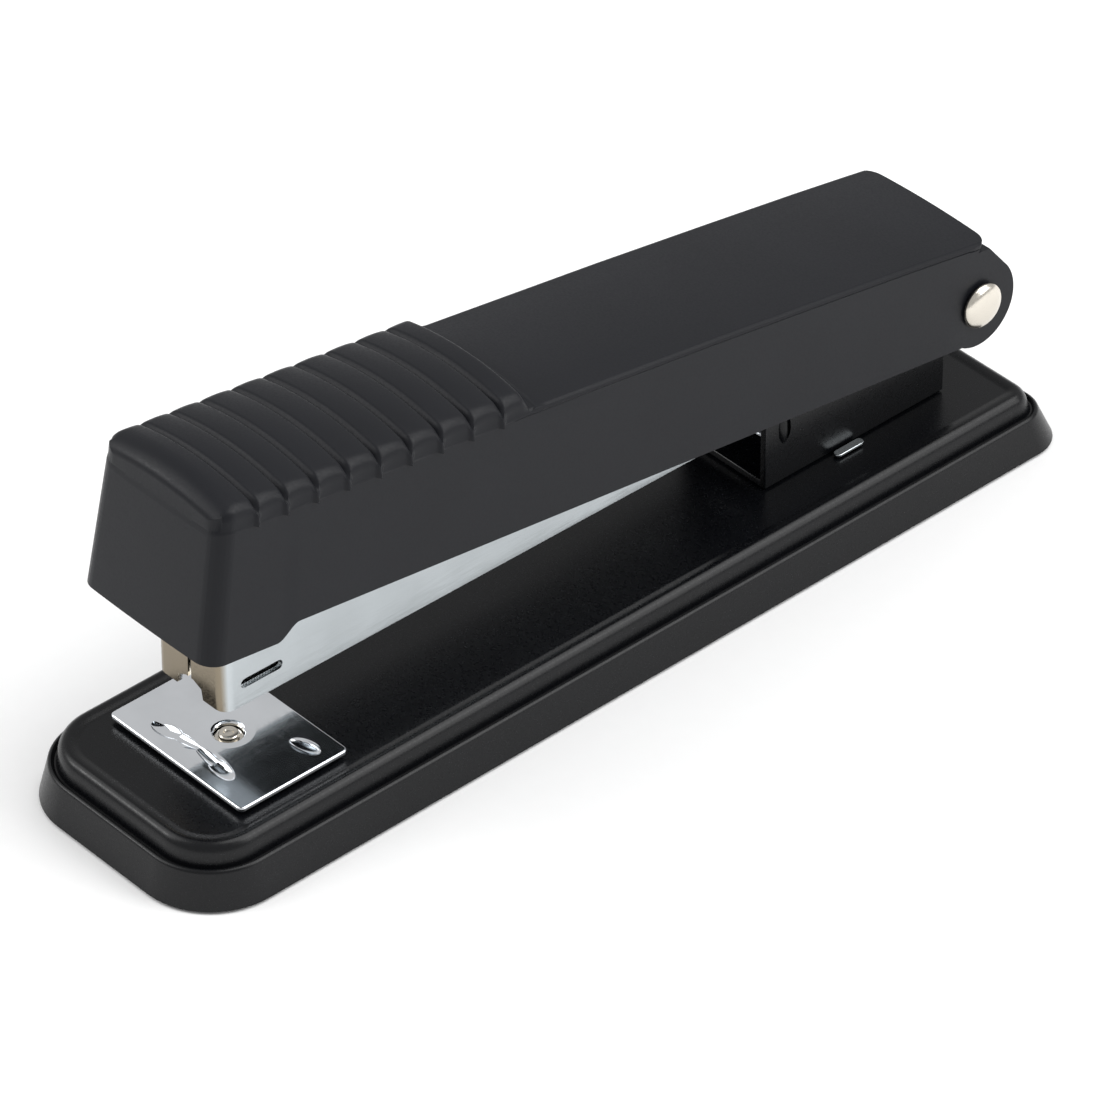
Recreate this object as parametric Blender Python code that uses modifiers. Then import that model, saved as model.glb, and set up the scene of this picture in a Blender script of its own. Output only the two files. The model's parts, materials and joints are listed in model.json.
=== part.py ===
"""Full-strip desktop stapler with a ribbed cover, built as separate pieces.

Sizes are in millimetres and turned to metres where a mesh is made. Z is up, Y runs along
the stapler with the nose at -Y, and the origin is on the table under the middle of the base.
The upper pieces are drawn level in frames of their own, which have the hinge pin's centre as
their origin and are tipped nose-up about it.
"""
import math

import bmesh
import bpy
from mathutils import Matrix

MM = 0.001
GAP = 0.3  # between pieces that touch

# Base
BASE_LENGTH = 178.3
BASE_WIDTH = 45.8
CORNER_FRONT = 12.6
CORNER_REAR = 6.8
PAN_SHEET = 1.2
FLOOR_Z = 9.9
RIDGE_Z = 10.3
PAD_THICK = 2.0
PAN_FOOT_Z = 0.5

# Hinge
PIN_Y = 76.45
PIN_Z = 27.7
PIN_RADIUS = 2.0
PIN_HOLE = 2.2
PIN_HEAD_RADIUS = 3.9
PIN_HEAD_X = 14.45
PIN_DOME = 1.75

# Bracket
BRACKET_HALF = 9.7
BRACKET_SHEET = 1.2
BRACKET_FRONT_Y = 35.15
BRACKET_REAR_Y = 73.55
BRACKET_TOP_Z = 29.5
BRACKET_LOBE = 5.5
WEB_Z = FLOOR_Z + GAP
RIVET_FRONT_Y = 46.0
RIVET_REAR_Y = 67.0
TAB_X = 10.9
TAB_Y = 51.9

# Anvil
ANVIL_Y = -64.55
ANVIL_WIDTH = 30.2
ANVIL_DEPTH = 20.8
ANVIL_TOP_Z = 11.4
ANVIL_THICK = 0.85
ANVIL_HOLE = 2.35
SPINDLE_TIP = 1.55
SPINDLE_NECK = 2.1
SPINDLE_STEP = 0.6
SPINDLE_FLANGE = 4.0

# Magazine, in its own frame
MAGAZINE_TILT = 0.55
MAGAZINE_HALF = 7.75
MAGAZINE_SHEET = 0.9
MAGAZINE_NOSE = -147.85
MAGAZINE_BOTTOM = -6.4
MAGAZINE_TOP = 5.0
RAIL_HALF = 5.7
RAIL_TOP = 1.1
RAIL_BOTTOM = -5.2
RAIL_SHEET = 0.8
RAIL_FRONT = -143.6
RAIL_REAR = -10.6
ROD_RADIUS = 1.0
ROD_HOLE = 1.2
ROD_Z = -2.3
STOP_FRONT = -13.6
STRIP_HALF = 6.4
STRIP_TOP = 1.9
STRIP_LEG = 6.3
STRIP_WIRE = 0.5
STRIP_FRONT = -145.0
STRIP_REAR = -114.0
PUSHER_FRONT = STRIP_REAR + GAP
PUSHER_LENGTH = 14.0
COLLAR_LENGTH = 6.7
TONGUE_LENGTH = 6.0

# Inner lid over the magazine and its leaf spring, in the magazine's frame
LID_HALF = 6.55
LID_TOP = 5.5
LID_SHEET = 0.8
LID_BOTTOM = STRIP_TOP + GAP
LID_FRONT = -144.9
LEAF_RIVET_Y = -61.5

# Return spring in the bracket
SPRING_FOOT = WEB_Z + BRACKET_SHEET + GAP
SPRING_SHEET = 0.7
SPRING_TOP = SPRING_FOOT + SPRING_SHEET

# Driver blade, in its own frame
DRIVER_TILT = 3.0
BLADE_HALF = 6.3
BLADE_FRONT = -146.35
BLADE_THICK = 0.7
BLADE_TIP = -3.64
BLADE_TOP = 18.2
DRIVER_RIVET_X = 3.2
DRIVER_RIVET_Z = 15.8

# Cover and frame of the handle, in the handle's frame
HANDLE_TILT = 7.66
COVER_NOSE = -156.4
COVER_HALF_BOTTOM = 14.7
COVER_HALF_TOP = 13.2
COVER_BOTTOM = -6.7
COVER_NOSE_BOTTOM = -9.2
COVER_WALL = 1.7
COVER_EAR = 7.5
EAR_FOOT = -3.37  # where the ears' round meets the sides' foot
EAR_ANGLE = -116.7
COVER_REAR = 0.9
EAR_CORNER = (1.2, 9.3)
EAR_TANGENT = 45.8
RIB_FIRST = -149.1
RIB_PITCH = 5.98
RIB_COUNT = 10
RIB_DEPTH = 0.7
FRAME_HALF = 11.3
FRAME_SHEET = 1.1
FRAME_TOP = 8.0
SCREW_STATIONS = (-120.0, -70.0)

SIDE_STEPS = 5
ROUND_STEPS = 24


def pin_frame(tilt):
    """Where a frame that is tipped nose-up by tilt degrees about the hinge pin lies."""
    at_pin = Matrix.Translation((0, PIN_Y * MM, PIN_Z * MM))
    return at_pin @ Matrix.Rotation(-math.radians(tilt), 4, "X")


LEVEL = Matrix.Identity(4)
HINGE = pin_frame(0)
MAGAZINE = pin_frame(MAGAZINE_TILT)
DRIVER = pin_frame(DRIVER_TILT)
HANDLE = pin_frame(HANDLE_TILT)
ANVIL = Matrix.Translation((0, ANVIL_Y * MM, 0))

# How an outline's two axes and its thickness lie in the piece's frame
PLANES = {
    "XY": Matrix.Identity(4),
    "YZ": Matrix(((0, 0, 1, 0), (1, 0, 0, 0), (0, 1, 0, 0), (0, 0, 0, 1))),
    "XZ": Matrix(((1, 0, 0, 0), (0, 0, -1, 0), (0, 1, 0, 0), (0, 0, 0, 1))),
}

PAINT = ("black_paint", (0.012, 0.012, 0.014), 0.0, 0.35)
COVER_PAINT = ("charcoal_plastic", (0.045, 0.045, 0.050), 0.0, 0.45)
RUBBER = ("black_rubber", (0.020, 0.020, 0.020), 0.0, 0.85)
CHROME = ("chrome", (0.62, 0.64, 0.66), 1.0, 0.12)
NICKEL = ("satin_nickel", (0.70, 0.68, 0.64), 1.0, 0.28)
SPRING_STEEL = ("spring_steel", (0.42, 0.42, 0.44), 1.0, 0.30)
ZINC = ("zinc_plate", (0.55, 0.56, 0.58), 1.0, 0.38)
STAPLE_WIRE = ("staple_wire", (0.66, 0.66, 0.66), 1.0, 0.25)
NYLON = ("black_nylon", (0.020, 0.020, 0.022), 0.0, 0.50)


def clear_scene():
    for thing in list(bpy.data.objects):
        bpy.data.objects.remove(thing, do_unlink=True)


def collection(name):
    made = bpy.data.collections.new(name)
    bpy.context.scene.collection.children.link(made)
    return made


def material(finish):
    name, colour, metallic, roughness = finish
    made = bpy.data.materials.get(name)
    if made is None:
        made = bpy.data.materials.new(name)
        made.use_nodes = True
        shader = made.node_tree.nodes["Principled BSDF"]
        shader.inputs["Base Color"].default_value = (*colour, 1)
        shader.inputs["Metallic"].default_value = metallic
        shader.inputs["Roughness"].default_value = roughness
    return made


def add_object(name, mesh, frame):
    made = bpy.data.objects.new(name, mesh)
    made.matrix_world = frame
    bpy.context.scene.collection.objects.link(made)
    return made


def finish_part(part, finish, smooth=30):
    """File a finished piece with the stapler's parts, with its material and shading."""
    bpy.context.scene.collection.objects.unlink(part)
    PARTS.objects.link(part)
    part.data.materials.clear()
    part.data.materials.append(material(finish))
    part.data.shade_smooth()
    part.data.set_sharp_from_angle(angle=math.radians(smooth))
    return part


def combine(target, tools, operation):
    for tool in tools:
        step = target.modifiers.new(operation.lower(), "BOOLEAN")
        step.operation = operation
        step.solver = "EXACT"
        step.object = tool
        bpy.context.scene.collection.objects.unlink(tool)
        CUTTERS.objects.link(tool)
        tool.hide_render = True
        tool.display_type = "WIRE"
    return target


def cut(target, *tools):
    return combine(target, tools, "DIFFERENCE")


def join(target, *tools):
    return combine(target, tools, "UNION")


def keep_inside(target, *tools):
    return combine(target, tools, "INTERSECT")


def arc(centre, radius, start, end, steps=8):
    """Points along an arc, its angles in degrees."""
    turn = math.radians(end - start) / steps
    angles = [math.radians(start) + turn * n for n in range(steps + 1)]
    return [
        (centre[0] + radius * math.cos(a), centre[1] + radius * math.sin(a))
        for a in angles
    ]


def ring(centre, radius, steps=ROUND_STEPS):
    return arc(centre, radius, 0, 360, steps)[:-1]


def box_outline(low, high):
    return [(low[0], low[1]), (high[0], low[1]), (high[0], high[1]), (low[0], high[1])]


def capsule(centre, half_length, radius, angle=0):
    """The outline of a slot with round ends, turned by angle degrees."""
    turn = math.radians(angle)
    along = (half_length - radius) * math.cos(turn)
    across = (half_length - radius) * math.sin(turn)
    front = (centre[0] + along, centre[1] + across)
    rear = (centre[0] - along, centre[1] - across)
    right = arc(front, radius, angle - 90, angle + 90, 6)
    return right + arc(rear, radius, angle + 90, angle + 270, 6)


def rounded_plan(half_x, front, rear, r_front, r_rear, steps=SIDE_STEPS):
    """A rectangle in plan with its own corner radius at each end."""
    return (
        arc((half_x - r_front, front + r_front), r_front, 270, 360, steps)
        + arc((half_x - r_rear, rear - r_rear), r_rear, 0, 90, steps)
        + arc((r_rear - half_x, rear - r_rear), r_rear, 90, 180, steps)
        + arc((r_front - half_x, front + r_front), r_front, 180, 270, steps)
    )


def slab(name, plane, outline, low, high, frame=LEVEL, holes=()):
    """A flat outline with holes in one plane of its frame, as thick as from low to high."""
    curve = bpy.data.curves.new(name, "CURVE")
    curve.dimensions = "2D"
    curve.fill_mode = "BOTH"
    curve.extrude = (high - low) / 2 * MM
    for points in (outline, *holes):
        spline = curve.splines.new("POLY")
        spline.points.add(len(points) - 1)
        for point, (a, b) in zip(spline.points, points):
            point.co = (a * MM, b * MM, 0, 1)
        spline.use_cyclic_u = True
    place = PLANES[plane] @ Matrix.Translation((0, 0, (low + high) / 2 * MM))
    return curve_to_mesh(name, curve, place, frame)


def curve_to_mesh(name, curve, place, frame):
    """A closed mesh object made from a curve, which is removed."""
    shape = add_object(name + "_curve", curve, LEVEL)
    bpy.context.view_layer.update()
    view = bpy.context.evaluated_depsgraph_get()
    mesh = bpy.data.meshes.new_from_object(shape.evaluated_get(view))
    bpy.data.objects.remove(shape)
    bpy.data.curves.remove(curve)
    return add_object(name, close_mesh(mesh, place), frame)


def close_mesh(mesh, place=LEVEL):
    """Merge a mesh's doubles, face it outwards and put it in place in its frame."""
    shape = bmesh.new()
    shape.from_mesh(mesh)
    bmesh.ops.remove_doubles(shape, verts=shape.verts, dist=0.000001)
    bmesh.ops.transform(shape, matrix=place, verts=shape.verts)
    bmesh.ops.recalc_face_normals(shape, faces=shape.faces)
    shape.to_mesh(mesh)
    shape.free()
    return mesh


def loft(name, rings, frame=LEVEL):
    """A closed skin over rings of points, with a flat cap at each end."""
    shape = bmesh.new()
    rows = [
        [shape.verts.new([c * MM for c in point]) for point in points]
        for points in rings
    ]
    count = len(rows[0])
    for near, far in zip(rows, rows[1:]):
        for n in range(count):
            after = (n + 1) % count
            shape.faces.new((near[n], near[after], far[after], far[n]))
    shape.faces.new(rows[0])
    shape.faces.new(rows[-1])
    mesh = bpy.data.meshes.new(name)
    shape.to_mesh(mesh)
    shape.free()
    return add_object(name, close_mesh(mesh), frame)


def turned(name, profile, frame, axis="Z", centre=(0, 0, 0), steps=ROUND_STEPS):
    """A profile of (radius, height) from top to bottom, turned about an axis of its frame."""
    shape = bmesh.new()
    points = [shape.verts.new((r * MM, 0, h * MM)) for r, h in profile]
    for above, below in zip(points, points[1:]):
        shape.edges.new((above, below))
    mesh = bpy.data.meshes.new(name)
    shape.to_mesh(mesh)
    shape.free()
    made = add_object(name, mesh, LEVEL)
    screw = made.modifiers.new("turn", "SCREW")
    screw.steps = steps
    screw.render_steps = steps
    screw.use_merge_vertices = True
    screw.merge_threshold = 0.00001
    bpy.context.view_layer.update()
    view = bpy.context.evaluated_depsgraph_get()
    solid = bpy.data.meshes.new_from_object(made.evaluated_get(view))
    bpy.data.objects.remove(made)
    turns = {
        "Z": LEVEL,
        "X": Matrix.Rotation(math.pi / 2, 4, "Y"),
        "Y": Matrix.Rotation(-math.pi / 2, 4, "X"),
    }
    place = Matrix.Translation([c * MM for c in centre]) @ turns[axis]
    return add_object(name, close_mesh(solid, place), frame)


def drill(plane, centre, radius, low, high, frame):
    return slab("drill", plane, ring(centre, radius), low, high, frame)


def pin_drill(frame):
    return drill("YZ", (0, 0), PIN_HOLE, -30, 30, frame)


def dome_profile(radius, base, height, steps=5):
    """A shallow dome's (radius, height) points from its crown down to its rim."""
    return [
        (radius * math.sin(a), base + height * math.cos(a))
        for a in [math.pi / 2 * n / steps for n in range(steps + 1)]
    ]


def coil(name, axis, centre, radius, wire, start, end, turns, frame, per_turn=8):
    """A round wire wound about an axis through centre, from start to end along it."""
    curve = bpy.data.curves.new(name, "CURVE")
    curve.dimensions = "3D"
    curve.bevel_depth = wire * MM
    curve.bevel_resolution = 2
    curve.use_fill_caps = True
    count = turns * per_turn
    spline = curve.splines.new("POLY")
    spline.points.add(count)
    for n, point in enumerate(spline.points):
        turn = 2 * math.pi * n / per_turn
        across = radius * math.cos(turn)
        up = radius * math.sin(turn)
        along = start + (end - start) * n / count
        if axis == "Y":
            place = (centre[0] + across, along, centre[1] + up)
        else:
            place = (centre[0] + across, centre[1] + up, along)
        point.co = (*[c * MM for c in place], 1)
    return curve_to_mesh(name, curve, LEVEL, frame)


# Base


def base_plan(z, inset, rear_extra):
    """The base's outline at one height, inset from the outline it stands on."""
    points = rounded_plan(
        BASE_WIDTH / 2 - inset,
        inset - BASE_LENGTH / 2,
        BASE_LENGTH / 2 - inset - rear_extra,
        CORNER_FRONT - inset,
        CORNER_REAR - inset * 0.85,
    )
    return [(x, y, z) for x, y in points]


def make_base():
    outside = [
        (PAN_FOOT_Z, 0, 0),
        (6.4, 1.5, 1.6),
        (6.9, 1.9, 1.7),
        (7.0, 2.7, 1.8),
        (8.2, 2.9, 2.0),
        (9.5, 3.2, 2.2),
        (10.1, 3.7, 2.3),
        (RIDGE_Z, 4.4, 2.3),
        (10.15, 5.3, 2.3),
        (FLOOR_Z, 5.8, 2.3),
    ]
    inside = [
        (FLOOR_Z - PAN_SHEET, 5.75, 2.3),
        (8.4, 4.7, 2.2),
        (6.3, 2.9, 1.8),
        (PAN_FOOT_Z, PAN_SHEET, 0),
    ]
    skin = [base_plan(*level) for level in outside]
    hollow = [base_plan(*level) for level in reversed(inside)]
    pan = loft("base_pan", skin)
    foot = [(x, y, z - 2) for x, y, z in hollow[0]]
    cut(pan, loft("pan_hollow", [foot, *hollow]))
    cut(pan, drill("XY", (0, ANVIL_Y), 4.5, 0, 20, LEVEL))
    for y in (RIVET_FRONT_Y, RIVET_REAR_Y):
        cut(pan, drill("XY", (0, y), PIN_HOLE, 5, 20, LEVEL))
    for x in (-TAB_X, TAB_X):
        slot = box_outline((x - 0.7, TAB_Y - 2.3), (x + 0.7, TAB_Y + 2.3))
        cut(pan, slab("tab_slot", "XY", slot, 5, 20))
    finish_part(pan, PAINT)

    margin = 2.0
    outline = rounded_plan(
        BASE_WIDTH / 2 - margin,
        margin - BASE_LENGTH / 2,
        BASE_LENGTH / 2 - margin - GAP * 2,
        CORNER_FRONT - margin,
        CORNER_REAR - margin,
    )
    hole = ring((0, ANVIL_Y), 6.5)
    finish_part(slab("base_pad", "XY", outline, 0, PAD_THICK, holes=[hole]), RUBBER)


def make_staking_tabs():
    """Tabs of the bracket that are pushed through the floor and pressed flat beside its foot."""
    for side, x in (("left", -TAB_X), ("right", TAB_X)):
        outline = [(x + b, TAB_Y + a) for a, b in capsule((0, 0), 3.0, 0.75)]
        cap = slab("staking_tab_" + side, "XY", outline, FLOOR_Z + GAP, FLOOR_Z + 0.8)
        stem = box_outline((x - 0.4, TAB_Y - 2.0), (x + 0.4, TAB_Y + 2.0))
        join(cap, slab("tab_stem", "XY", stem, 8.0, FLOOR_Z + 0.6))
        finish_part(cap, ZINC)


def make_bracket():
    outline = [(BRACKET_FRONT_Y, WEB_Z), (BRACKET_REAR_Y, WEB_Z), (BRACKET_REAR_Y, 20.5)]
    outline += arc((PIN_Y, PIN_Z), BRACKET_LOBE, -60, 95, 10)
    outline += [(60.0, BRACKET_TOP_Z), (BRACKET_FRONT_Y, BRACKET_TOP_Z)]
    bracket = slab("hinge_bracket", "YZ", outline, -BRACKET_HALF, BRACKET_HALF)
    inner = BRACKET_HALF - BRACKET_SHEET
    inside = box_outline((20, WEB_Z + BRACKET_SHEET), (100, 50))
    cut(bracket, slab("bracket_inside", "YZ", inside, -inner, inner))
    cut(bracket, pin_drill(HINGE))
    for y in (RIVET_FRONT_Y, RIVET_REAR_Y):
        cut(bracket, drill("XY", (0, y), PIN_HOLE, 5, 20, LEVEL))
    finish_part(bracket, PAINT)

    web_top = WEB_Z + BRACKET_SHEET
    heads = (("front", RIVET_FRONT_Y, web_top + GAP), ("rear", RIVET_REAR_Y, SPRING_TOP + GAP))
    for end, y, head_z in heads:
        profile = dome_profile(3.4, head_z, 1.0)
        profile += [(PIN_RADIUS, head_z), (PIN_RADIUS, 8.4), (3.2, 8.4), (3.2, 7.2), (0, 7.2)]
        rivet = turned("bracket_rivet_" + end, profile, LEVEL, centre=(0, y, 0))
        finish_part(rivet, ZINC)


def leaf(name, path, half_width, frame):
    """A strip of sheet that follows a path in YZ, drawn along its lower face."""
    upper = []
    for n, (y, z) in enumerate(path):
        before = path[max(n - 1, 0)]
        after = path[min(n + 1, len(path) - 1)]
        slope = math.atan2(after[1] - before[1], after[0] - before[0])
        upper.append((y + SPRING_SHEET * math.sin(slope), z - SPRING_SHEET * math.cos(slope)))
    outline = path + upper[::-1]
    return slab(name, "YZ", outline, -half_width, half_width, frame)


def make_return_spring():
    """The leaf on the bracket's web that holds the magazine up."""
    path = [(71.0, SPRING_FOOT), (62.0, SPRING_FOOT)]
    path += arc((62.0, SPRING_FOOT + 9.0), 9.0, -90, -116, 3)[1:]
    path += [(46.0, 18.2), (41.5, 20.2), (39.3, 20.5), (37.6, 19.6)]
    spring = leaf("return_spring", path, 5.5, LEVEL)
    cut(spring, drill("XY", (0, RIVET_REAR_Y), PIN_HOLE, 5, 20, LEVEL))
    finish_part(spring, SPRING_STEEL)


# Anvil


def make_anvil():
    low = ANVIL_TOP_Z - ANVIL_THICK
    outline = rounded_plan(ANVIL_WIDTH / 2, -ANVIL_DEPTH / 2, ANVIL_DEPTH / 2, 0.8, 0.8, 3)
    hole = ring((0, 0), ANVIL_HOLE)
    plate = slab("anvil_plate", "XY", outline, low, ANVIL_TOP_Z, ANVIL, holes=[hole])
    floor = ANVIL_TOP_Z - 0.45
    for side in (-1, 1):
        grooves = (
            capsule((side * 4.15, -6.4), 4.0, 1.2, side * -7),
            capsule((side * 10.4, 6.0), 3.1, 1.3, side * 12),
        )
        for groove in grooves:
            cut(plate, slab("crimp_groove", "XY", groove, floor, 20, ANVIL))
    finish_part(plate, CHROME)

    head = ANVIL_TOP_Z + 0.1
    seat = low - GAP
    profile = [(0, head), (SPINDLE_TIP, head), (SPINDLE_TIP, head - SPINDLE_STEP)]
    profile += [(SPINDLE_NECK, head - SPINDLE_STEP), (SPINDLE_NECK, seat)]
    profile += [(SPINDLE_FLANGE, seat), (SPINDLE_FLANGE, 9.2)]
    profile += [(1.5, 9.2), (1.5, 3.0), (0, 3.0)]
    finish_part(turned("anvil_spindle", profile, ANVIL), NICKEL)

    profile = [(1.8, 2.7), (1.8, 4.2), (5.2, 4.2), (5.6, 3.8), (5.6, 1.6), (5.2, 1.2)]
    profile = [(0, 2.7), *profile, (0, 1.2)]
    finish_part(turned("anvil_button", profile, ANVIL), NYLON)

    spring = coil("anvil_spring", "Z", (0, 0), 3.6, 0.3, 4.85, 8.05, 4, ANVIL, 12)
    finish_part(spring, SPRING_STEEL)


# Hinge pin


def make_pin():
    profile = dome_profile(PIN_HEAD_RADIUS, PIN_HEAD_X, PIN_DOME)
    profile += [(PIN_RADIUS, PIN_HEAD_X), (PIN_RADIUS, -PIN_HEAD_X - 0.7)]
    profile += [(0, -PIN_HEAD_X - 0.7)]
    finish_part(turned("hinge_pin", profile, HINGE, "X"), NICKEL)

    floor = PIN_HEAD_X + 1.0
    profile = dome_profile(PIN_HEAD_RADIUS, PIN_HEAD_X, PIN_DOME)
    profile += [(PIN_HOLE, PIN_HEAD_X), (PIN_HOLE, floor), (0, floor)]
    profile = [(radius, -height) for radius, height in profile[::-1]]
    finish_part(turned("pin_cap", profile, HINGE, "X"), NICKEL)


# Magazine


def make_magazine():
    outer = rounded_plan(MAGAZINE_HALF, MAGAZINE_NOSE, 8, 2.0, 0.5, 4)
    channel = slab("magazine_channel", "XY", outer, MAGAZINE_BOTTOM, MAGAZINE_TOP, MAGAZINE)
    inner_half = MAGAZINE_HALF - MAGAZINE_SHEET
    inner_nose = MAGAZINE_NOSE + MAGAZINE_SHEET
    floor = MAGAZINE_BOTTOM + MAGAZINE_SHEET
    inner = rounded_plan(inner_half, inner_nose, 12, 1.1, 0.5, 4)
    cut(channel, slab("magazine_inside", "XY", inner, floor, 20, MAGAZINE))
    side = [(-160, -20), (-9, -20), (-9, MAGAZINE_BOTTOM)]
    side += arc((0, 0), 5.6, -105, 62, 10)
    side += [(-1, MAGAZINE_TOP - 0.3), (-4, 20), (-160, 20)]
    keep_inside(channel, slab("magazine_side", "YZ", side, -20, 20, MAGAZINE))
    web = box_outline((-30, -20), (30, floor + 0.1))
    cut(channel, slab("web_end", "XZ", web, -20, 8.5, MAGAZINE))
    cut(channel, pin_drill(MAGAZINE))
    outlet = box_outline((-6.6, inner_nose + 0.05), (6.6, STRIP_FRONT + 0.6))
    cut(channel, slab("staple_exit", "XY", outlet, -20, floor + 1, MAGAZINE))
    seam = box_outline((-0.35, -20), (0.35, 20))
    front = (-MAGAZINE_NOSE - 0.95, -MAGAZINE_NOSE + 2)
    cut(channel, slab("tab_gap", "XZ", seam, *front, MAGAZINE))
    notch = [(3.4, -9), (2.7, -5.2), (2.6, -4.6), (0.8, -3.8)]
    notch = notch + [(-x, z) for x, z in notch[::-1]]
    cut(channel, slab("front_notch", "XZ", notch, *front, MAGAZINE))
    slot = capsule((-140.6, -2.45), 4.0, 0.85)
    cut(channel, slab("side_slot", "YZ", slot, -20, 20, MAGAZINE))
    finish_part(channel, CHROME)


def make_rail():
    side = box_outline((RAIL_FRONT, RAIL_BOTTOM), (RAIL_REAR, RAIL_TOP))
    rail = slab("staple_rail", "YZ", side, -RAIL_HALF, RAIL_HALF, MAGAZINE)
    inner = RAIL_HALF - RAIL_SHEET
    inside = box_outline((RAIL_FRONT + RAIL_SHEET, -20), (20, RAIL_TOP - RAIL_SHEET))
    cut(rail, slab("rail_inside", "YZ", inside, -inner, inner, MAGAZINE))
    slot = box_outline((-1.3, -139), (1.3, -20))
    cut(rail, slab("rail_slot", "XY", slot, 0, 5, MAGAZINE))
    cut(rail, drill("XZ", (0, ROD_Z), ROD_HOLE, 130, 160, MAGAZINE))
    finish_part(rail, ZINC)

    plate = box_outline((-4.6, RAIL_BOTTOM), (4.6, RAIL_TOP - RAIL_SHEET - GAP))
    hole = ring((0, ROD_Z), ROD_HOLE, 16)
    stop = slab("rear_stop", "XZ", plate, -STOP_FRONT - 1.4, -STOP_FRONT, MAGAZINE, [hole])
    finish_part(stop, ZINC)

    front = RAIL_FRONT - GAP
    profile = [(0, -11.0), (ROD_RADIUS, -11.0), (ROD_RADIUS, front), (1.6, front)]
    profile += [(1.6, front - 0.4), (0, front - 0.4)]
    rod = turned("guide_rod", profile, MAGAZINE, "Y", (0, 0, ROD_Z), 12)
    finish_part(rod, ZINC)


def make_staples():
    low = STRIP_TOP - STRIP_LEG
    outer = [(STRIP_HALF, low), (STRIP_HALF, STRIP_TOP - 0.3), (STRIP_HALF - 0.3, STRIP_TOP)]
    inner_x = STRIP_HALF - STRIP_WIRE
    inner = [(inner_x, low), (inner_x, STRIP_TOP - STRIP_WIRE)]
    half = outer[::-1] + inner
    outline = [(-x, z) for x, z in half] + half[::-1]
    strip = slab("staple_strip", "XZ", outline, -STRIP_REAR, -STRIP_FRONT, MAGAZINE)
    finish_part(strip, STAPLE_WIRE)


def make_pusher():
    """A saddle over the rail, with a tongue through the rail's slot to a collar on the rod."""
    rear = PUSHER_FRONT + PUSHER_LENGTH
    half = [(6.35, -2.0), (6.35, STRIP_TOP), (0, STRIP_TOP)]
    inner = [(5.95, -2.0), (5.95, RAIL_TOP + GAP), (0, RAIL_TOP + GAP)]
    outline = half[:-1] + [(-x, z) for x, z in half[-2::-1]]
    outline += [(-x, z) for x, z in inner[:-1]] + inner[-2::-1]
    pusher = slab("pusher_block", "XZ", outline, -rear, -PUSHER_FRONT, MAGAZINE)
    tongue = box_outline((-1.0, ROD_Z + 1.5), (1.0, RAIL_TOP + GAP + 0.2))
    front = -PUSHER_FRONT - 0.5
    join(pusher, slab("pusher_tongue", "XZ", tongue, front - TONGUE_LENGTH, front, MAGAZINE))
    collar = ring((0, ROD_Z), 2.3, 16)
    ends = (-PUSHER_FRONT - COLLAR_LENGTH, -PUSHER_FRONT)
    join(pusher, slab("pusher_collar", "XZ", collar, *ends, MAGAZINE))
    cut(pusher, drill("XZ", (0, ROD_Z), ROD_HOLE, ends[0] - 9, ends[1] + 9, MAGAZINE))
    finish_part(pusher, ZINC)

    start = PUSHER_FRONT + COLLAR_LENGTH + 3 * GAP
    end = STOP_FRONT - 3 * GAP
    spring = coil("pusher_spring", "Y", (0, ROD_Z), 1.75, 0.3, start, end, 14, MAGAZINE)
    finish_part(spring, SPRING_STEEL)


# Inner lid


def make_lid():
    side = [(LID_FRONT, LID_BOTTOM), (-9, LID_BOTTOM), (-5, -2)]
    side += arc((0, 0), 4.2, -110, 70, 10)
    side += [(-9, LID_TOP), (LID_FRONT, LID_TOP)]
    lid = slab("magazine_lid", "YZ", side, -LID_HALF, LID_HALF, MAGAZINE)
    inner = LID_HALF - LID_SHEET
    inside = box_outline((-160, -20), (20, LID_TOP - LID_SHEET))
    cut(lid, slab("lid_inside", "YZ", inside, -inner, inner, MAGAZINE))
    opening = box_outline((-inner, -10), (inner, 20))
    cut(lid, slab("lid_rear", "XY", opening, -20, 20, MAGAZINE))
    cut(lid, pin_drill(MAGAZINE))
    cut(lid, drill("XY", (0, LEAF_RIVET_Y), 1.7, 0, 20, MAGAZINE))
    finish_part(lid, ZINC)

    top = LID_TOP + GAP
    path = [(-56.0, top), (-67.0, top)]
    path += [(-76.0, top + 2.6), (-86.0, top + 7.4), (-94.0, top + 11.6)]
    path += [(-98.0, top + 12.6), (-101.0, top + 11.8)]
    spring = leaf("handle_spring", path, 5.0, MAGAZINE)
    cut(spring, drill("XY", (0, LEAF_RIVET_Y), 1.7, 0, 20, MAGAZINE))
    finish_part(spring, SPRING_STEEL)

    head = top + SPRING_SHEET + GAP
    foot = LID_TOP - LID_SHEET - GAP
    profile = dome_profile(2.8, head, 0.9, 4)
    profile += [(1.5, head), (1.5, foot), (2.6, foot), (2.6, foot - 0.8), (0, foot - 0.8)]
    rivet = turned("spring_rivet", profile, MAGAZINE, centre=(0, LEAF_RIVET_Y, 0), steps=16)
    finish_part(rivet, ZINC)


# Handle


def cover_top(s):
    """Height of the cover's top edge s mm along the handle's frame."""
    if s < -100:
        return 16.6
    smooth = 13.3 - 0.0305 * (s + 90)
    if s < -92:
        blend = (s + 100) / 8
        return 16.6 + (13.36 - 16.6) * blend
    return smooth


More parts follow.
